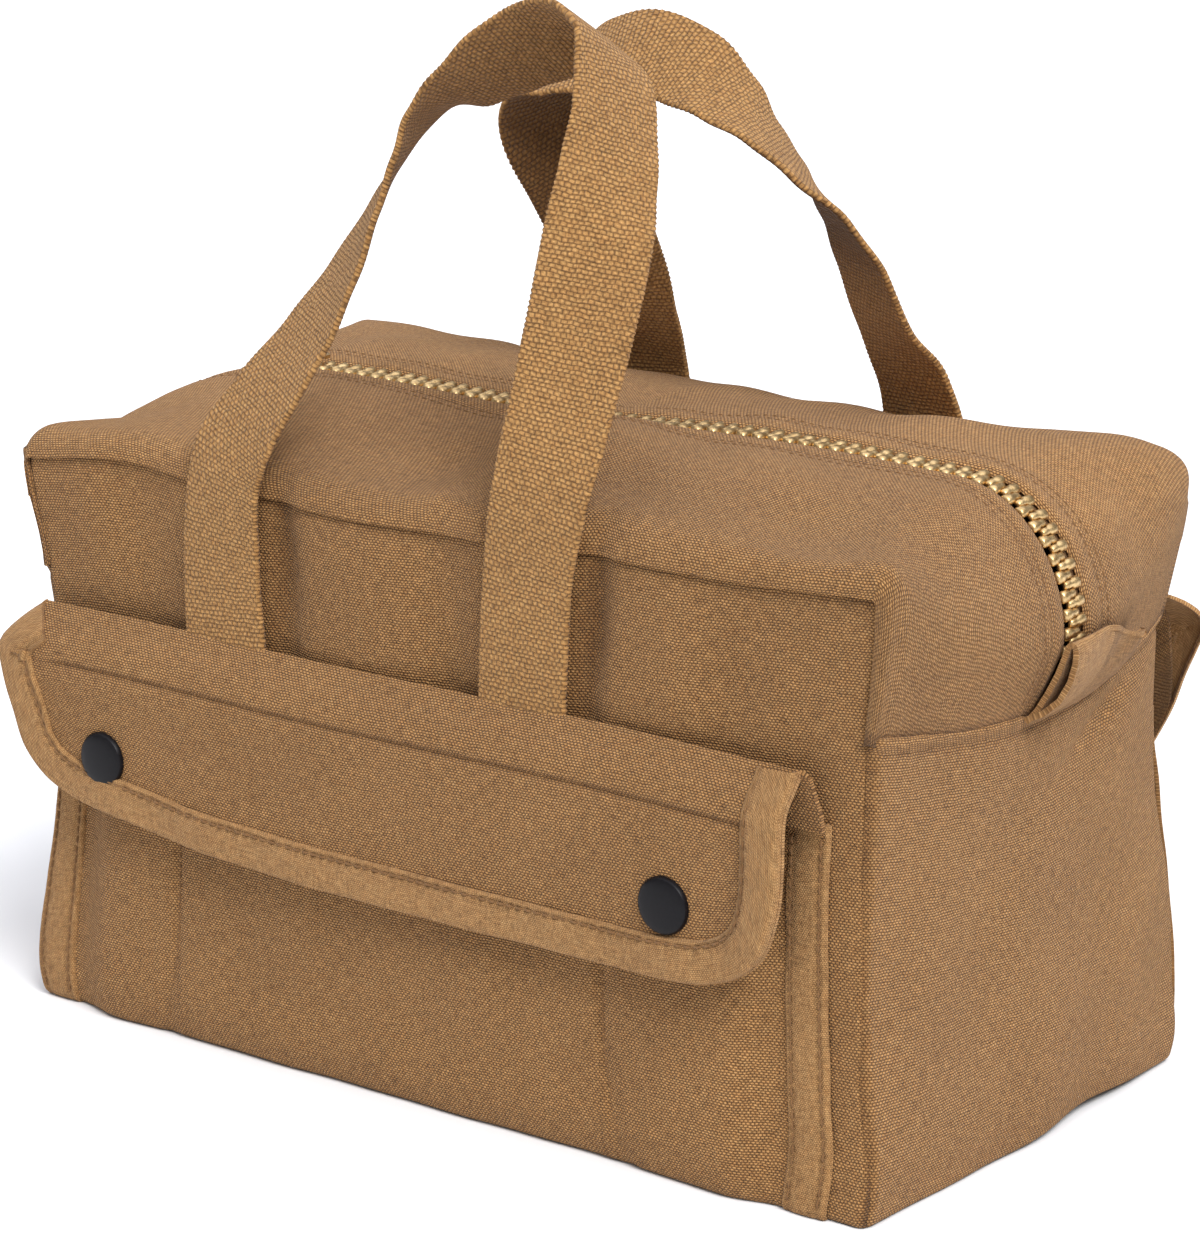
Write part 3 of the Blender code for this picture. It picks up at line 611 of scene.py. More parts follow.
# A place across a top strip is a share: 0 at its long edge, below 0 on its turned-in lip, 1 at the
# zip. Up to TURN_SHARE the strip turns from the upright face onto the top.
STRIP_EDGE, STRIP_ZIP = 75.7, 5.4
TURN_SHARE = 0.09
STITCH_ROWS = (0.885, 0.835)
SHARES = np.concatenate([
    [-0.02, -0.01], TURN_SHARE * (1 - np.cos(np.linspace(0, PI / 2, 9))),
    stations(0.115, 0.95, 0.022), [0.965, 0.98, 0.99, 1.0],
])


def strip_y(share):
    """How far from the zip's line a share of a strip lies."""
    return STRIP_EDGE + (STRIP_ZIP - STRIP_EDGE) * np.clip(share, 0, 1)


def turned_over(share):
    """How far a strip has turned from the upright face onto the top: 0 at its long edge, then 1."""
    t = np.clip(share / TURN_SHARE, 0, 1)
    return np.sqrt(np.clip(1 - (1 - t) ** 2, 0, 1))


def left_dip(x, y, z):
    """How far the soft top sinks near the bag's left end."""
    return LEFT_DIP(y) * ease((-x - 112) / 30) * ease((z - 135) / 25)


def shoulder(share, side, end):
    """The bend of a strip down over the end: its outermost x, and its reach along and down."""
    swell = np.sin(PI / 2 * np.clip(share, 0, 1))
    if end == "left":
        reach = 153.8 + 1.6 * turned_over(share) + 9.4 * swell
        return reach, 1.2 + 46.8 * swell ** 0.8, 1.6 + 40.4 * swell ** 0.8
    corner = 149.6 if side == "front" else 150.4
    reach = corner + 4.0 * turned_over(share) + (161.0 - corner) * swell
    return reach, 1.2 + 35.8 * swell ** 0.8, 1.6 + 39.4 * swell ** 0.8


def top_height(x, share, side):
    seam = TOP_SEAM if side == "front" else BACK_SEAM
    edge = seam(x)
    crown = np.sin(PI / 2 * np.clip(share, 0, 1)) ** (0.9 if side == "back" else 0.86)
    return edge + 5.0 * turned_over(share) + (ZIP_LINE(x) - edge - 5.0) * crown


def strip_grid(side, end):
    """Half of a top strip: from its long edge to the zip, from the bag's middle to the end seam."""
    flip = 1 if end == "right" else -1
    face = 1 if side == "back" else -1
    share = SHARES[:, None]
    curl = np.clip(-share / 0.02, 0, 1)
    reach, across, down = shoulder(share, side, end)
    start = reach - across
    x_flat = start * stations(0, 1, 0.022)[None, :]
    angle = stations(0, 1, 0.07)[None, 1:] * PI / 2
    drop = stations(0, 1, 0.06)[None, 1:]
    z_flat = top_height(flip * x_flat, share, side)
    top = z_flat[:, -1:]
    low = END_SEAM(face * strip_y(share) * flip) - 1.5
    low_x = end_face(strip_y(share) / STRIP_EDGE, low, end) - 0.7 - 1.2 * (1 - turned_over(share))
    x_drop = reach - (reach - low_x) * drop ** 1.3
    z_drop = (top - down) + (low - top + down) * drop
    if end == "left":
        near = np.exp(-share / 0.09) * ease(drop / 0.25) * ease((1.05 - drop) / 0.2)
        edge = LEFT_EDGE(z_drop) - 1.4 + 0.8 * turned_over(share)
        x_drop = x_drop + (edge - x_drop) * near
    x = np.concatenate([x_flat, start + across * np.sin(angle), x_drop], axis=1)
    z = np.concatenate([z_flat, top - down * (1 - np.cos(angle)), z_drop], axis=1)
    face_x = flip * x if side == "front" else -flip * x
    lap = face_depth(face_x, np.clip(z, 0, 176), side) + 1.3 - STRIP_EDGE
    depth = strip_y(share) + lap * (1 - ease(share / 0.35)) - 1.8 * curl
    on_top = z > 160
    z = z - 1.6 * (1 - turned_over(share)) * on_top + 1.2 * ease(curl - 0.4) * on_top
    z = z - left_dip(flip * x, face * depth, z)
    return shape_strip(points(flip * x, face * depth, z), share, side, end)


STRIP_FOLDS = {  # as swells() takes them, over x and share
    "front": (
        (28, 0.62, 26, 0.30, 0, 4.6), (-6, 0.40, 20, 0.24, 0, -1.8), (84, 0.50, 26, 0.25, 0, 1.6),
        (118, 0.30, 18, 0.30, 0, -1.4), (-66, 0.55, 22, 0.3, 0, 0.8), (-118, 0.5, 20, 0.4, 0, -1.6),
        (-30, 0.8, 16, 0.2, 0, -1.2), (58, 0.12, 24, 0.12, 0, 1.4), (-88, 0.14, 24, 0.12, 0, 1.2),
        (140, 0.62, 14, 0.3, 0, 1.5), (52, 0.8, 14, 0.2, 0, -1.0), (-12, 0.3, 8, 0.3, 0, -1.6),
    ),
    "back": (
        (100, 0.45, 30, 0.30, 0, 2.6), (30, 0.40, 30, 0.26, 0, 2.2), (64, 0.62, 12, 0.26, 0, -1.4),
        (-30, 0.40, 24, 0.3, 0, 2.4), (-96, 0.42, 30, 0.3, 0, 3.4), (0, 0.7, 12, 0.2, 0, -1.0),
        (140, 0.35, 16, 0.3, 0, 2.2), (-140, 0.4, 16, 0.3, 0, 2.0),
    ),
}


def outward_of(grid):
    """Normals of a strip, made to point up along its middle and so outward everywhere."""
    out = normals(grid)
    return out if out[:, :12, 2].mean() > 0 else -out


def shape_strip(grid, share, side, end):
    """Adds the sag and swellings of soft cloth, the sewn rows by the zip, and painted light and
    shade.
    """
    x, z = grid[..., 0], grid[..., 2]
    out = outward_of(grid)
    swell = swells(x, share, *STRIP_FOLDS[side])
    swell = swell + ripple(x, share * 78, 21 if side == "front" else 22, 48, 0.75)
    swell = swell * np.clip(share / 0.10, 0, 1) * np.clip((1.0 - share) / 0.08, 0, 1)
    swell = swell * np.where(z < 160, 0.6, 1.0)
    zip_roll = -1.6 * np.clip((share - 0.97) / 0.03, 0, 1) ** 2
    rows = sum(hill(share, row, 0.010) for row in STITCH_ROWS)
    hem = 0.5 * hill(share, 0.93, 0.03)
    ridge = 0.9 * hill(share, 0.028, 0.016) * (z < 172)
    lift = swell + zip_roll - 0.3 * rows + hem + ridge
    # painted shade along the strip's turned long edge and in its sewn rows
    tone = 1 - 0.5 * np.exp(-np.clip(share + 0.02, 0, 1) / 0.008) - 0.10 * rows + 0 * x
    flip = 1 if end == "right" else -1
    above = z - END_SEAM(grid[..., 1] * flip)
    # painted shade just above the end panels' seam, under their lip; none at the far left corner
    tone = tone - 0.5 * hill(np.clip(above, 0, 60), 0, 1.3) * (z < 150)
    tone = np.where((x < -146) & (share < 0.05) & (z < 168), 1.0, tone)
    # painted light on the upward tops: the front strip's left end and the whole back strip
    tone = tone + 0.11 * ease((z - 172) / 6) * (ease((-x - 85) / 20) if side == "front" else 1.0)
    # painted shade on the front strip near its long edge, right of the middle
    if side == "front":
        tone = tone - 0.07 * hill(share, 0.22, 0.2) * ease((x - 10) / 30)
    return grid + out * lift[..., None], tone


def add_body():
    for side in ("front", "back"):
        grid, tone = face_grid(side)
        piece = cloth(side + "_panel_cloth", grid, CANVAS, tone=tone, turn=side == "back")
        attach(piece, "root")
        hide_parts(side + "_panel")
    for side in ("left", "right"):
        grid, tone = end_grid(side)
        piece = cloth(f"end_{side}_cloth", grid, CANVAS, tone=tone)
        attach(piece, "root")
        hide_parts("end_panel_" + side)
    piece = cloth("bottom_cloth", bottom_grid(), CANVAS)
    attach(piece, "root")
    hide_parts("bottom_panel")


def bend_half(piece):
    """Cloth or chain of the mouth: its placement is baked into its points."""
    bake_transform(piece)


def add_strips():
    """The two top strips, each as a left and a right half, with the stitches beside the zip."""
    for side in ("front", "back"):
        for end in ("left", "right"):
            grid, tone = strip_grid(side, end)
            out = outward_of(grid)
            lines = []
            for share in STITCH_ROWS:
                row = int(np.argmin(np.abs(SHARES - share)))
                lines.append((grid[row, :-4], out[row, :-4]))
            if normals(grid)[:, :12, 2].mean() < 0:
                grid, tone = grid[::-1], tone[::-1]
            piece = cloth(f"top_{side}_{end}_cloth", grid, CANVAS, tone=tone)
            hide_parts(f"top_strip_{side}_{end}", "top_strip_" + side)
            bend_half(piece)
            sewn = stitches(f"top_{side}_{end}_stitches", lines, THREAD)
            bend_half(sewn)


# ---- the zip ----

ZIP_STEP = 0.5  # spacing of the points of the zip's path
TAPE_EDGES = (3.6, 13.0)
TOOTH_PITCH = 5.2

def zip_path(end, drop):
    """The line of the zip from the bag's middle down to the end tab, as (x, z) every ZIP_STEP."""
    flip = 1 if end == "right" else -1
    reach, across, down = (float(v) for v in shoulder(np.array(1.0), "front", end))
    x = np.linspace(0, reach - across, 60)
    z = ZIP_LINE(flip * x) - drop
    angle = np.linspace(0, PI / 2, 30)[1:]
    z = np.concatenate([z, z[-1] - (down - drop) * (1 - np.cos(angle))])
    x = np.concatenate([x, reach - across + (across - drop) * np.sin(angle)])
    x = np.concatenate([x, [x[-1] - 0.5]])
    z = np.concatenate([z, [z[-1] - 6.0]])
    z = z - left_dip(flip * x, 0, z)
    return resample(np.stack([flip * x, z], axis=1), ZIP_STEP)


def add_tape(side, end):
    path = zip_path(end, 2.6)
    face = 1 if side == "back" else -1
    lanes = np.linspace(*TAPE_EDGES, 5)
    grid = np.stack([points(path[::4, 0], face * y, path[::4, 1]) for y in lanes])
    if normals(grid)[:, :10, 2].mean() < 0:
        grid = grid[::-1]
    piece = cloth(f"tape_{side}_{end}", grid, TAPE, thickness=0.8)
    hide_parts(f"zip_tape_{side}_{end}", "zip_tape_" + side)
    bend_half(piece)


TOOTH = (  # y from the zip's middle toward its own tape, half width along the zip, half height
    (-2.1, 0.8, 0.5), (-1.7, 1.2, 0.95), (0.0, 1.28, 1.2), (1.1, 1.05, 1.1),
    (1.7, 1.65, 1.35), (4.4, 1.8, 1.45), (5.0, 1.4, 0.9),
)
TOOTH_RING = (  # across and up, as shares of the half width and half height
    (1, 0.25), (0.62, 0.85), (0, 1.08), (-0.62, 0.85), (-1, 0.25), (-0.8, -0.9), (0.8, -0.9),
)


def add_teeth(side, end):
    """Half a row of brass teeth; the two sides' teeth alternate along the zip."""
    path = zip_path(end, 1.4)
    gone = np.arange(len(path)) * ZIP_STEP
    face = 1 if side == "back" else -1
    flip = 1 if end == "right" else -1
    first = 1.3 if (face > 0) == (flip > 0) else 3.9
    verts, faces = [], []
    rng = np.random.default_rng(40 + face + 10 * flip)
    for at in np.arange(first, gone[-1] - 1.0, TOOTH_PITCH):
        here = np.array([np.interp(at, gone, path[:, k]) for k in (0, 1)])
        ahead = np.array([np.interp(at + 1, gone, path[:, k]) for k in (0, 1)])
        along = (ahead - here) / np.linalg.norm(ahead - here)
        up = np.array([-along[1], along[0]]) * flip
        tilt = rng.normal(0, 0.04)
        base = len(verts)
        for y, half, height in TOOTH:
            for a, b in TOOTH_RING:
                shift = a * half + tilt * y
                place = here + along * shift * flip + up * (b * height)
                verts.append((place[0], face * y, place[1]))
        faces += tube(base, len(TOOTH), len(TOOTH_RING))
    if side == "front":
        faces = [f[::-1] for f in faces]
    piece = make_mesh(f"teeth_{side}_{end}", verts, faces, BRASS, sharp=50)
    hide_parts(f"zip_teeth_{side}_{end}", "zip_teeth_" + side)
    bend_half(piece)


# ---- webbing handles ----

WEBBING_HALF, WEBBING_SKIN = 15.2, 1.05  # half the width and half the thickness

# Points along the middle of the webbing, each with the direction that its outer face looks in
FRONT_ROUTE = (
    ((-72, -79.2, 110), (0, -1, 0)), ((-72, -80.9, 127), (-0.01, -1, 0)),
    ((-73, -80.9, 151), (-0.06, -1, 0)), ((-70, -81.5, 178), (-0.16, -1, 0.05)),
    ((-61.2, -77, 197), (-0.33, -0.95, 0.2)), ((-50.4, -68, 217), (-0.45, -0.85, 0.25)),
    ((-42.4, -60, 236), (-0.6, -0.75, 0.25)), ((-36.6, -53, 254), (-0.72, -0.62, 0.25)),
    ((-31.5, -48, 268), (-0.78, -0.45, 0.4)), ((-25, -44, 280.5), (-0.75, -0.2, 0.6)),
    ((-13, -41, 288), (-0.6, 0.3, 0.75)), ((-1, -38, 296.5), (-0.42, 0.6, 0.7)),
    ((10, -36, 302), (-0.25, 0.75, 0.65)), ((20, -35, 306), (-0.05, 0.65, 0.8)),
    ((29, -36, 304.5), (0.0, 0.45, 0.9)), ((36.5, -39, 296), (0.4, 0.2, 0.85)),
    ((41, -44, 284), (0.72, 0.0, 0.55)), ((44, -51, 269), (0.8, -0.4, 0.2)),
    ((46, -59, 251), (0.6, -0.8, 0.1)), ((47, -68, 230), (0.4, -0.9, 0.1)),
    ((46, -76, 207), (0.25, -0.95, 0.05)), ((43, -81, 185), (0.1, -1, 0)),
    ((39, -81, 162), (0, -1, 0)), ((37, -80.9, 127), (0, -1, 0)), ((37, -79.2, 110), (0, -1, 0)),
)
BACK_ROUTE = (
    ((62, 79.2, 110), (0, 1, 0)), ((62, 80.9, 127), (0, 1, 0)), ((62.5, 80.9, 152), (0.03, 1, 0)),
    ((62.5, 81.5, 178), (0.1, 1, 0.05)), ((61, 76, 196), (0.2, 0.97, 0.1)),
    ((57, 66, 213), (0.4, 0.9, 0.15)), ((54.2, 58, 231), (0.45, 0.85, 0.2)),
    ((50, 51, 245), (0.58, 0.7, 0.25)), ((41, 44, 259), (0.7, 0.4, 0.45)),
    ((31.5, 40, 269.5), (0.66, 0.2, 0.66)), ((21.5, 37, 279), (0.45, -0.2, 0.85)),
    ((9, 34, 287.4), (0.24, -0.55, 0.75)), ((-5, 31, 291.5), (0.1, -0.68, 0.7)),
    ((-18, 29, 289.5), (-0.1, -0.6, 0.7)), ((-32, 28, 284), (-0.35, -0.4, 0.8)),
    ((-40.5, 29, 277), (-0.8, 0.1, 0.6)), ((-42.2, 33, 266), (-0.9, 0.35, 0.2)),
    ((-37, 39, 252), (-0.8, 0.6, 0.1)), ((-33.2, 46, 237), (-0.7, 0.7, 0.1)),
    ((-34.5, 57, 221), (-0.6, 0.8, 0.1)), ((-38.5, 71, 203), (-0.3, 0.95, 0.1)),
    ((-41, 81.5, 187), (-0.1, 1, 0.05)), ((-38, 82, 160), (-0.04, 1, 0)),
    ((-38, 80.9, 127), (0, 1, 0)), ((-38, 79.2, 110), (0, 1, 0)),
)


def along_route(route, spacing):
    """Middle points, directions along, and outer-face directions of webbing at an even spacing."""
    at = np.array([p for p, _ in route], float)
    face = np.array([f for _, f in route], float)
    dense, looks = [], []
    for k in range(len(at) - 1):
        before, here = at[max(k - 1, 0)], at[k]
        there, after = at[k + 1], at[min(k + 2, len(at) - 1)]
        for t in np.linspace(0, 1, 24, endpoint=False):
            dense.append(0.5 * (
                here * 2 + (there - before) * t
                + (before * 2 - here * 5 + there * 4 - after) * t ** 2
                + (here * 3 - before - there * 3 + after) * t ** 3
            ))
            looks.append(face[k] * (1 - ease(t)) + face[k + 1] * ease(t))
    dense.append(at[-1])
    looks.append(face[-1])
    both = resample(np.concatenate([np.array(dense), np.array(looks)], axis=1), spacing)
    middle, look = both[:, :3], both[:, 3:]
    reach = int(7 / spacing)  # the looks are smoothed over 7 mm to each side
    weights = np.exp(-np.linspace(-2, 2, 2 * reach + 1) ** 2)
    weights /= weights.sum()
    padded = np.pad(look, ((reach, reach), (0, 0)), mode="edge")
    look = np.stack([np.convolve(padded[:, k], weights, "valid") for k in range(3)], axis=1)
    along = np.gradient(middle, axis=0)
    along /= np.linalg.norm(along, axis=1, keepdims=True)
    look -= along * np.sum(look * along, axis=1, keepdims=True)
    look /= np.linalg.norm(look, axis=1, keepdims=True)
    return middle, along, look


def add_handle(side, route):
    """One handle: webbing with rounded, slightly scalloped edges, sewn down at its feet."""
    spacing = 0.8
    middle, along, look = along_route(route, spacing)
    across = np.cross(along, look)
    gone = np.arange(len(middle)) * spacing
    lane = np.concatenate(
        [np.linspace(-1, -0.93, 4), np.linspace(-0.86, 0.86, 15), np.linspace(0.93, 1, 4)]
    )
    rim = np.clip(np.abs(lane) - 0.93, 0, 1) / 0.07
    lift = np.sqrt(np.clip(1 - rim ** 2, 0.0, 1)) * WEBBING_SKIN
    outer = list(zip(lane, lift))
    profile = outer + [(a, -b) for a, b in outer[-2:0:-1]]
    cup = 0.5 * np.sin(gone / 31.0 + (0 if side == "front" else 2))
    rings = []
    for a, b in profile:
        scallop = 0.22 * np.sin(2 * PI * gone / 1.65) * (abs(a) > 0.9)
        width = a * WEBBING_HALF + np.sign(a) * scallop
        hollow = cup * (1 - a * a)
        rings.append(middle + across * width[:, None] + look * (b + hollow)[:, None])
    grid = np.stack(rings, axis=1)
    rows, count = grid.shape[:2]
    index = np.arange(rows * count).reshape(rows, count)
    after = np.roll(index, -1, axis=1)
    faces = np.stack([index[:-1], index[1:], after[1:], after[:-1]], axis=-1)
    faces = faces.reshape(-1, 4).tolist() + [index[0].tolist(), index[-1][::-1].tolist()]
    uv = np.array([[(a * WEBBING_HALF, g) for a, _ in profile] for g in gone]).reshape(-1, 2) * MM
    # painted shade on the inner face of the loop near its top, darker on the back handle
    inside = 0.74 if side == "front" else 0.38  # how dark the inner face is at the top of the loop
    shade = np.array([1.0] * len(lane) + [inside] * (len(profile) - len(lane)))
    high = ease((middle[:, 2] - 215) / 30)[:, None]
    tones = (1 - high * (1 - shade)).ravel()
    verts = grid.reshape(-1, 3)
    piece = make_mesh(side + "_handle_webbing", verts, faces, WEBBING, uv, tones, sharp=70)
    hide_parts(side + "_handle")
    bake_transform(piece)


# ---- pockets and flaps, written for the front and turned for the back ----

POCKET_LEFT, POCKET_RIGHT, POCKET_TOP = -150.0, 139.0, 109.0
POCKET_BAND = 14.0  # width of the binding down each side
POCKET_SEAMS = (2.2, 11.8)  # its two rows of stitches
POCKET_FOLDS = (
    (-60, 40, 30, 24, 0, 0.9), (-118, 40, 14, 26, 0, 0.7), (10, 36, 40, 22, 0, 0.8),
    (100, 40, 20, 26, 0, 0.8), (30, 26, 26, 12, 20, -0.9), (-50, 20, 22, 12, -12, -0.8),
)
DIVIDERS = (-90.0, 67.0)
FLAP_LEFT, FLAP_RIGHT = -143.0, 129.5
FLAP_EDGE = (  # (x, z) along the binding's outer edge, from the left end of the fold to the right
    (-143.5, 127.8), (-150.0, 122.4), (-154.6, 115.6), (-152.0, 106.4), (-147.4, 96.0),
    (-142.8, 84.2), (-135.4, 76.2), (-125.0, 71.8), (-107.0, 69.0), (-85.0, 66.0),
    (-50.0, 63.4), (0.0, 62.0), (60.0, 61.4), (96.0, 61.8), (108.0, 63.2),
    (118.5, 67.6), (126.0, 75.0), (130.0, 86.0), (131.0, 100.0), (130.5, 112.0),
    (130.0, 124.5),
)
FLAP_HEM = curve(
    (-143, 88), (-139, 81), (-135, 77.4), (-125, 73), (-107, 70), (-85, 67), (-50, 64.4), (0, 63),
    (60, 62.4), (96, 62.8), (108, 64.2), (118.5, 68.6), (126, 76), (129.5, 87),
)
FLAP_FOLDS = (
    (-40, 76, 34, 12, 0, 0.9), (30, 72, 30, 12, 0, -0.5), (60, 96, 30, 10, 0, 0.6),
    (-70, 100, 30, 9, 0, 0.5), (-146, 92, 8, 20, 0, 1.2), (126, 88, 7, 20, 0, 0.8),
    (-10, 64, 60, 5, 0, 0.8),
)
FLAP_ROOT = (  # depth and fall of the rows of cloth behind the fold, down to the seam
    (81.6, -0.9), (80.6, -0.6), (80.0, 1.0), (79.8, 6.0), (79.4, 11.0), (79.0, 15.5),
)
CREASE_FALL = 14.8  # how far below the fold the flap's crease lies
BAND, BAND_SEAM = 12.5, 10.8  # the flap binding's width, and where its stitches run
SNAPS = ((-112.0, 86.4), (93.6, 82.8))
FLAP_FALL = curve(
    (0, 82.4), (3, 84.6), (6, 86.9), (10, 89.3), (14, 90.8), (18, 91.5), (24, 91.6), (70, 91.5),
)


def divider_x(line, z):
    """Where a pocket's dividing seam lies at a height: it leans outward toward its foot."""
    return line + 10 * ease((40 - z) / 60) * np.sign(line + 1)


def pocket_depth(x, z, side):
    middle = (POCKET_LEFT + POCKET_RIGHT) / 2
    inside = (POCKET_RIGHT - POCKET_LEFT) / 2 - POCKET_BAND - np.abs(x - middle)
    pouch = 6.4 * ease(inside / 18) * ease((z + 15) / 32)
    wave = swells(x, z, *POCKET_FOLDS) + ripple(x, z, 31 if side == "front" else 32, 50, 0.5)
    depth = face_depth(x, np.minimum(z, 116), side) + 1.0 + pouch + wave * ease(inside / 10)
    depth = depth + 1.6 * hill(z, 4, 12)
    for line in DIVIDERS:
        depth = depth - 0.9 * hill(x, divider_x(line, z), 2.2) * ease((POCKET_TOP - z) / 20)
    return depth


def pocket_points(x, z, side, lift=0.0):
    depth = pocket_depth(x, z, side) - rolled(z, 2.6) * 0.9
    return points(bent_x(x, z, side), -depth - lift, z)


def band_x(x, z):
    """A pocket binding wanders a little from side to side."""
    return x + 0.35 * np.sin(z / 17.0)


def seam_path(x, z, side, lift):
    """A line of stitches on the pocket, as stitches() takes it."""
    path = pocket_points(x, z, side, lift)
    return path, np.tile([0, -1.0, 0], (len(path), 1))


def add_pocket(side):
    """The pocket's cloth, its two side bindings and all of its stitches."""
    turn = side == "back"
    lines = [v for d in DIVIDERS for v in (d - 2.4, d - 1.2, d, d + 1.2, d + 2.4)]
    x = np.concatenate([stations(POCKET_LEFT + 1, POCKET_RIGHT - 1, 3.0), lines])
    x = np.unique(x)[None, :]
    z = np.concatenate([np.linspace(0.4, 8, 8), stations(11, 105, 3.0), [106.5, 108, 109]])[:, None]
    grid = pocket_points(x, z, side)
    grid[..., 1] += rolled(POCKET_TOP - z, 1.5) * 0.8
    grid[..., 1] -= 0.9 * hill(POCKET_TOP - z, 4, 4.0)
    # painted shade in the pocket's dividing seams
    tone = 1 - 0.12 * sum(hill(x, d, 1.0) for d in DIVIDERS) + 0 * z
    pocket = cloth(side + "_pocket_cloth", grid, CANVAS, tone=tone, turn=turn)
    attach(pocket, "root")
    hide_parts(side + "_pocket_panel")
    height = np.linspace(6, 107, 110)
    sewn = [seam_path(divider_x(line, height), height, side, 0.05) for line in DIVIDERS]
    hem = np.linspace(POCKET_LEFT + POCKET_BAND, POCKET_RIGHT - POCKET_BAND, 200)
    sewn.append(seam_path(hem, np.full_like(hem, POCKET_TOP - 8.5), side, 0.2))
    for end, left in (("left", POCKET_LEFT), ("right", POCKET_RIGHT - POCKET_BAND)):
        grid, tone = pocket_band(left, side)
        name = f"{side}_pocket_band_{end}"
        band = cloth(name, grid, BINDING, thickness=1.1, tone=tone, turn=turn)
        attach(band, "root")
        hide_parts(f"{side}_pocket_binding_{end}")
        for offset in POCKET_SEAMS:
            height = np.linspace(3, POCKET_TOP - 1, 110)
            sewn.append(seam_path(band_x(left + offset, height), height, side, 1.45))
    thread = stitches(side + "_pocket_stitches", sewn, THREAD, turn=turn)
    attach(thread, "root")


def pocket_band(left, side):
    """The binding down one side of the pocket, from its left edge, puckered along its stitches."""
    a = np.concatenate([
        [0, 0.25, 0.6, 1.1, 1.7], np.linspace(2.4, 11.6, 8), [12.3, 12.9, 13.4, 13.75, 14],
    ])[None, :]
    z = np.concatenate([np.linspace(0.4, 8, 7), stations(10, POCKET_TOP, 2.0)])[:, None]

    def at_seams(width):
        return sum(hill(a, seam, width) for seam in POCKET_SEAMS)

    soft = 1.1 - 1.3 * (rolled(a, 1.4) + rolled(POCKET_BAND - a, 1.4)) / 1.4
    pucker = 0.22 * np.sin(z * 2 * PI / STITCH_PITCH) * at_seams(1.3)
    groove = -0.45 * at_seams(0.6)
    puff = 0.5 * np.sin(PI * a / POCKET_BAND) + 0.25 * ripple(a, z, 50, 26, 1.0)
    grid = pocket_points(band_x(left + a, z), z, side)
    grid[..., 1] -= soft + pucker + groove + puff
    # painted shade in the stitched grooves and a painted highlight near the rolled left edge
    tone = 1.0 - 0.14 * at_seams(0.8) + 0 * z
    return grid, tone + 0.06 * hill(a, 0.8, 0.7)


def flap_top(x):
    return 125.4 + 1.6 * ease((-x - 20) / 100) - 1.6 * ease((x - 60) / 70)


def flick(x, side):
    """How far the back flap's far corner has curled upward."""
    return 17.0 * ease((-x - 118) / 36) * (side == "back")


def flap_points(x, z, side, lift=0.0):
    """The flap's outer face: it slopes out from its fold, then hangs over the pocket."""
    top = flap_top(x)
    fall = np.clip(top - z, 0, None)
    depth = FLAP_FALL(fall)
    hang = ease((fall - 14) / 12)
    wave = swells(x, z, *FLAP_FOLDS)
    calm = 1 - sum(np.exp(-(((x - a) / 12) ** 2 + ((z - b) / 12) ** 2)) for a, b in SNAPS)
    depth = depth + (wave + ripple(x, z, 61 if side == "front" else 62, 52, 0.3)) * hang * calm
    crease = hill(fall, CREASE_FALL, 1.0) * (x > FLAP_LEFT + 12) * (x < FLAP_RIGHT - 12)
    puff = 0.9 * hill(fall, 8.5, 4.5)
    depth = depth - 1.2 * crease + puff
    curled = flick(x, side) * (1 + 0.5 * np.clip((112 - z) / 40, 0, 1))
    return points(x, -depth - lift, z + curled)


def add_flap(side):
    """The flap from its lower edge up over its fold and down to the seam, with its binding."""
    turn = side == "back"
    x = FLAP_LEFT + (FLAP_RIGHT - FLAP_LEFT) * stations(0, 1, 0.0115)
    top = flap_top(x)
    falls = np.concatenate([np.arange(0, 12, 1.0), np.arange(12, 18, 0.5), [18, 19, 20]])
    shares = np.linspace(1, 0, 22)[:-1]
    heights = [top - 20 + (FLAP_HEM(x) - top + 20) * share for share in shares]
    heights += [top - fall for fall in falls[::-1]]
    grid = [flap_points(x, z, side) for z in heights]
    # painted shade in the flap's crease
    tone = [0.95 - 0.2 * hill(top - z, CREASE_FALL, 0.8) for z in heights]
    for k, (depth, fall) in enumerate(FLAP_ROOT):
        root_x = FLAP_LEFT + (x - FLAP_LEFT) * (1 + min(7.0, 1.7 * k) / (FLAP_RIGHT - FLAP_LEFT))
        grid.append(points(root_x, -depth, top - fall + flick(x, side)))
        tone.append(np.full_like(x, 0.95))
    flap = cloth(side + "_flap_cloth", np.stack(grid), CANVAS, tone=np.stack(tone), turn=turn)
    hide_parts(side + "_flap", side + "_flap_root")
    band, thread = add_flap_band(side, turn)
    for piece in (flap, band, thread):
        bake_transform(piece)


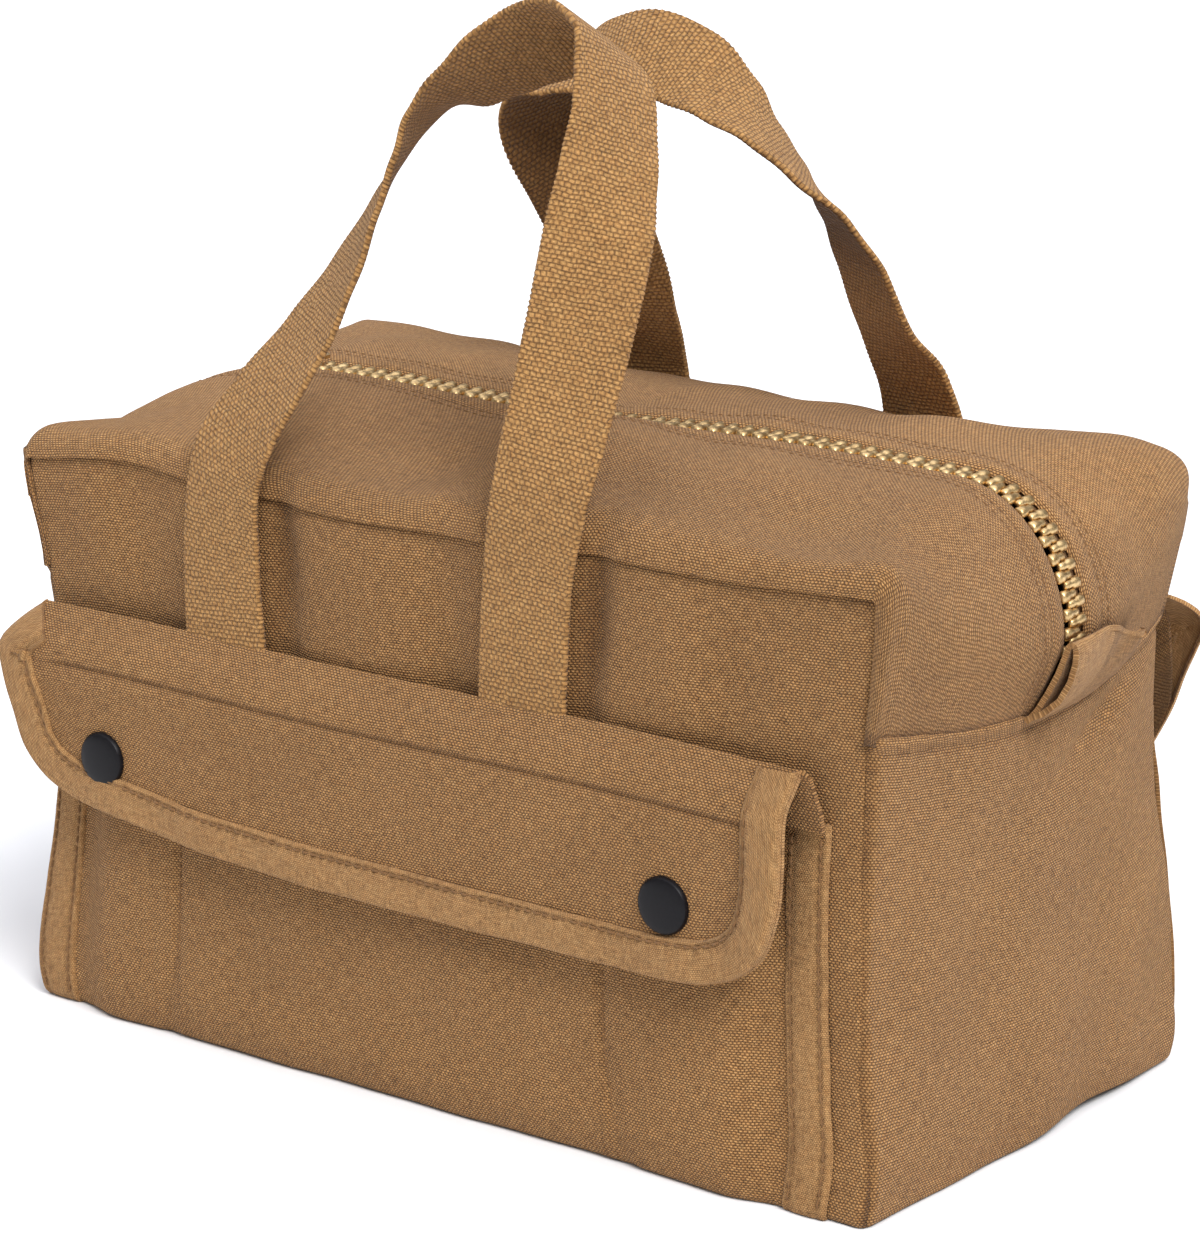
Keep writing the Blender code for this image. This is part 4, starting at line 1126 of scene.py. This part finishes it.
def add_flap_band(side, turn):
    """The binding folded over the flap's free edges, and the stitches along its inner edge."""
    way = np.array(FLAP_EDGE)
    gone = np.concatenate([[0], np.cumsum(np.linalg.norm(np.diff(way, axis=0), axis=1))])
    at = np.linspace(0, gone[-1], int(gone[-1] / 2.0))
    outer = np.stack([curve(*zip(gone, way[:, k]))(at) for k in (0, 1)], axis=1)
    along = np.gradient(outer, axis=0)
    along /= np.linalg.norm(along, axis=1, keepdims=True)
    inward = np.stack([-along[:, 1], along[:, 0]], axis=1)
    lanes = np.concatenate([
        [-0.02, 0.0, 0.03, 0.07, 0.12], np.linspace(0.2, 0.78, 6),
        [0.82, 0.86, 0.9, 0.94, 0.97, 1.0],
    ])
    rows, tones = [], []
    for lane in lanes:
        flat = outer + inward * BAND * lane
        edge = np.clip(lane, 0, 1) * BAND
        rise = 1.6 - 1.5 * rolled(BAND - edge, 1.0) - 1.9 * rolled(edge + 0.05, 1.6)
        rise = rise + 0.35 * np.sin(PI * np.clip(lane, 0, 1)) - 0.45 * hill(edge, BAND_SEAM, 0.6)
        pucker = 0.25 * np.sin(at * 2 * PI / STITCH_PITCH) * hill(edge, BAND_SEAM, 1.4)
        rise = rise + pucker + 0.3 * ripple(at, edge, 71, 34, 1.0)
        rows.append(flap_points(flat[:, 0], flat[:, 1], side, rise))
        # painted shade in the stitched groove and a painted highlight along the outer fold
        tones.append(1 - 0.2 * hill(edge, BAND_SEAM, 0.8) + 0.06 * hill(edge, 0.8, 0.8) + 0 * at)
    grid, tone = np.stack(rows), np.stack(tones)
    band = cloth(side + "_flap_band", grid, BINDING, thickness=1.2, tone=tone, turn=turn)
    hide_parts(side + "_flap_binding")
    sewn = (outer + inward * BAND_SEAM)[3:-3]
    path = flap_points(sewn[:, 0], sewn[:, 1], side, 1.7)
    thread = stitches(side + "_flap_stitches", [(path, [0, -1.0, 0])], THREAD, turn=turn)
    return band, thread


def lathe(name, profile, centre, material, turn, steps=56):
    """A piece turned about a snap's axis; its profile is (radius, depth out from the bag)."""
    x, z = centre
    verts = []
    for radius, depth in profile:
        for angle in 2 * PI * np.arange(steps) / steps:
            verts.append((x + radius * np.cos(angle), -depth, z + radius * np.sin(angle)))
    return make_mesh(name, verts, tube(0, len(profile), steps), material, sharp=40, turn=turn)


def add_snaps(side):
    turn = side == "back"
    cap = [(7.7, 91.4), (8.2, 91.9), (8.25, 92.5), (7.9, 93.0)]
    cap += [(7.9 * np.cos(a), 93.0 + 1.35 * np.sin(a)) for a in np.linspace(0.1, 1.5, 12)]
    for k, centre in enumerate(SNAPS):
        piece = lathe(f"{side}_cap_{k + 1}", cap, centre, CAP_BLACK, turn)
        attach(piece, side + "_flap")
        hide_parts(f"{side}_snap_cap_{k + 1}")


# ---- end tabs ----

# (x, z) round the loop of the tab where it is open: up its outside, over its fold, down its inside
TAB_OUTSIDE = (
    (157.5, 125.0), (162.9, 128.0), (167.5, 132.5), (170.2, 138.5), (171.2, 144.5), (171.0, 148.0),
)
TAB_FOLD = ((170.0, 150.2), (168.0, 150.6), (166.8, 149.4))
TAB_INSIDE = ((166.0, 146.0), (164.6, 141.0), (162.2, 135.0), (159.6, 129.6), (156.8, 125.8))
TAB_OPEN, TAB_SHUT = -13.5, 36.0  # where the tab starts and ends along Y
TAB_FOOT, TAB_HEIGHT = 125, 25.6


def add_tab(end):
    """A folded loop of cloth sewn into the end seam; its open front shows the hollow inside."""
    flip = 1 if end == "right" else -1
    outline = resample(np.array(TAB_OUTSIDE + TAB_FOLD + TAB_INSIDE), 1.2)
    fold = int(np.argmax(outline[:, 1]))
    inside = np.arange(len(outline)) > fold
    rise = np.clip((outline[:, 1] - TAB_FOOT) / TAB_HEIGHT, 0, 1)
    lining = np.interp(
        rise, [0, 0.2, 0.4, 0.65, 0.85, 1], [156.8, 159.8, 162.3, 164.6, 166.0, 166.8],
    )
    columns = []
    for place in np.linspace(TAB_OPEN, TAB_SHUT, 50):
        t = (place - TAB_OPEN) / (TAB_SHUT - TAB_OPEN)
        shut = ease(t / 0.62)
        x = outline[:, 0] + (lining + np.where(inside, 0.2, 1.5) - outline[:, 0]) * shut * 0.9
        height = (outline[:, 1] - TAB_FOOT) * (0.92 - 0.34 * ease((t - 0.45) / 0.55))
        seam = END_SEAM(np.array(place)) - 126.4
        crease = 0.9 * np.sin(place / 3.1 - rise * 3) * ease((t - 0.35) / 0.3) * rise
        x = x - 3.4 * t ** 2 + crease
        columns.append(points(x, place + 4.5 * rise * (1 - t), TAB_FOOT + height + seam))
    grid = np.stack(columns, axis=1)
    if normals(grid)[2:5, :, 0].mean() < 0:
        grid, inside = grid[::-1], inside[::-1]
    grid = grid * np.array([flip, flip, 1])
    # painted shade on the inner side of the loop
    tone = 1 - 0.1 * inside[:, None] + 0 * grid[..., 0]
    piece = cloth(f"tab_{end}_cloth", grid, BINDING, thickness=1.7, tone=tone)
    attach(piece, "root")
    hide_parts("end_tab_" + end)


# ---- put together ----

add_body()
add_strips()
for which_end in ("left", "right"):
    for which_side in ("front", "back"):
        add_tape(which_side, which_end)
        add_teeth(which_side, which_end)
    add_tab(which_end)
add_handle("front", FRONT_ROUTE)
add_handle("back", BACK_ROUTE)
for which_side in ("front", "back"):
    add_pocket(which_side)
    add_flap(which_side)
    add_snaps(which_side)


def finish_cad(name, material, width=0.25):
    """Keeps a CAD node and gives it its finish and softened edges."""
    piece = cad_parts[name]
    piece.data.materials.clear()
    piece.data.materials.append(material)
    soft = piece.modifiers.new("soft edges", "BEVEL")
    soft.width = width * MM
    soft.segments = 2
    soft.limit_method = "ANGLE"
    soft.angle_limit = np.radians(35)


finish_cad("zip_slider", BRASS)
finish_cad("zip_pull", BRASS)
for which_side in ("front", "back"):
    for number in ("1", "2"):
        for kind in ("socket", "stud", "eyelet"):
            finish_cad(f"{which_side}_snap_{kind}_{number}", BRASS, 0.12)


# ---- light, floor and camera ----


def sun(name, toward, strength, softness, colour=(1, 1, 1)):
    """A distant soft light; toward points from the bag to the light."""
    data = bpy.data.lights.new(name, "SUN")
    data.energy = strength
    data.angle = np.radians(softness)
    data.color = colour
    lamp = bpy.data.objects.new(name, data)
    lamp.rotation_euler = Vector(toward).to_track_quat("Z", "Y").to_euler()
    bpy.context.scene.collection.objects.link(lamp)


def add_floor():
    """A white floor that reaches well past what a low view sees."""
    far = 60
    mesh = bpy.data.meshes.new("floor")
    corners = [(-far, -far, 0), (far, -far, 0), (far, far, 0), (-far, far, 0)]
    mesh.from_pydata(corners, [], [(0, 1, 2, 3)])
    floor = bpy.data.objects.new("floor", mesh)
    bpy.context.scene.collection.objects.link(floor)
    material, tree, shader = new_material("floor", 0.9)
    shader.inputs["Base Color"].default_value = (0.9, 0.9, 0.9, 1)
    shader.inputs["Specular IOR Level"].default_value = 0.0
    mesh.materials.append(material)


add_floor()
world = bpy.data.worlds.new("studio")
bpy.context.scene.world = world
world.use_nodes = True
background = world.node_tree.nodes["Background"]
background.inputs["Color"].default_value = (1, 1, 1, 1)
background.inputs["Strength"].default_value = 0.28
sun("key", (0.62, -0.34, 0.75), 2.6, 26)
sun("top", (0.05, 0.0, 1.0), 2.15, 100, (0.97, 1.0, 1.1))
sun("fill", (-0.15, -1.0, 0.12), 0.3, 60)

camera_data = bpy.data.cameras.new("camera")
camera_data.lens = 124.5
camera_data.sensor_width = 36
camera = bpy.data.objects.new("camera", camera_data)
camera.location = (0.7330, -0.9683, 0.4515)
camera.rotation_euler = Euler(np.radians((75.10, 0, 37.02)).tolist())
bpy.context.scene.collection.objects.link(camera)
bpy.context.scene.camera = camera
bpy.context.scene.view_settings.view_transform = "Standard"
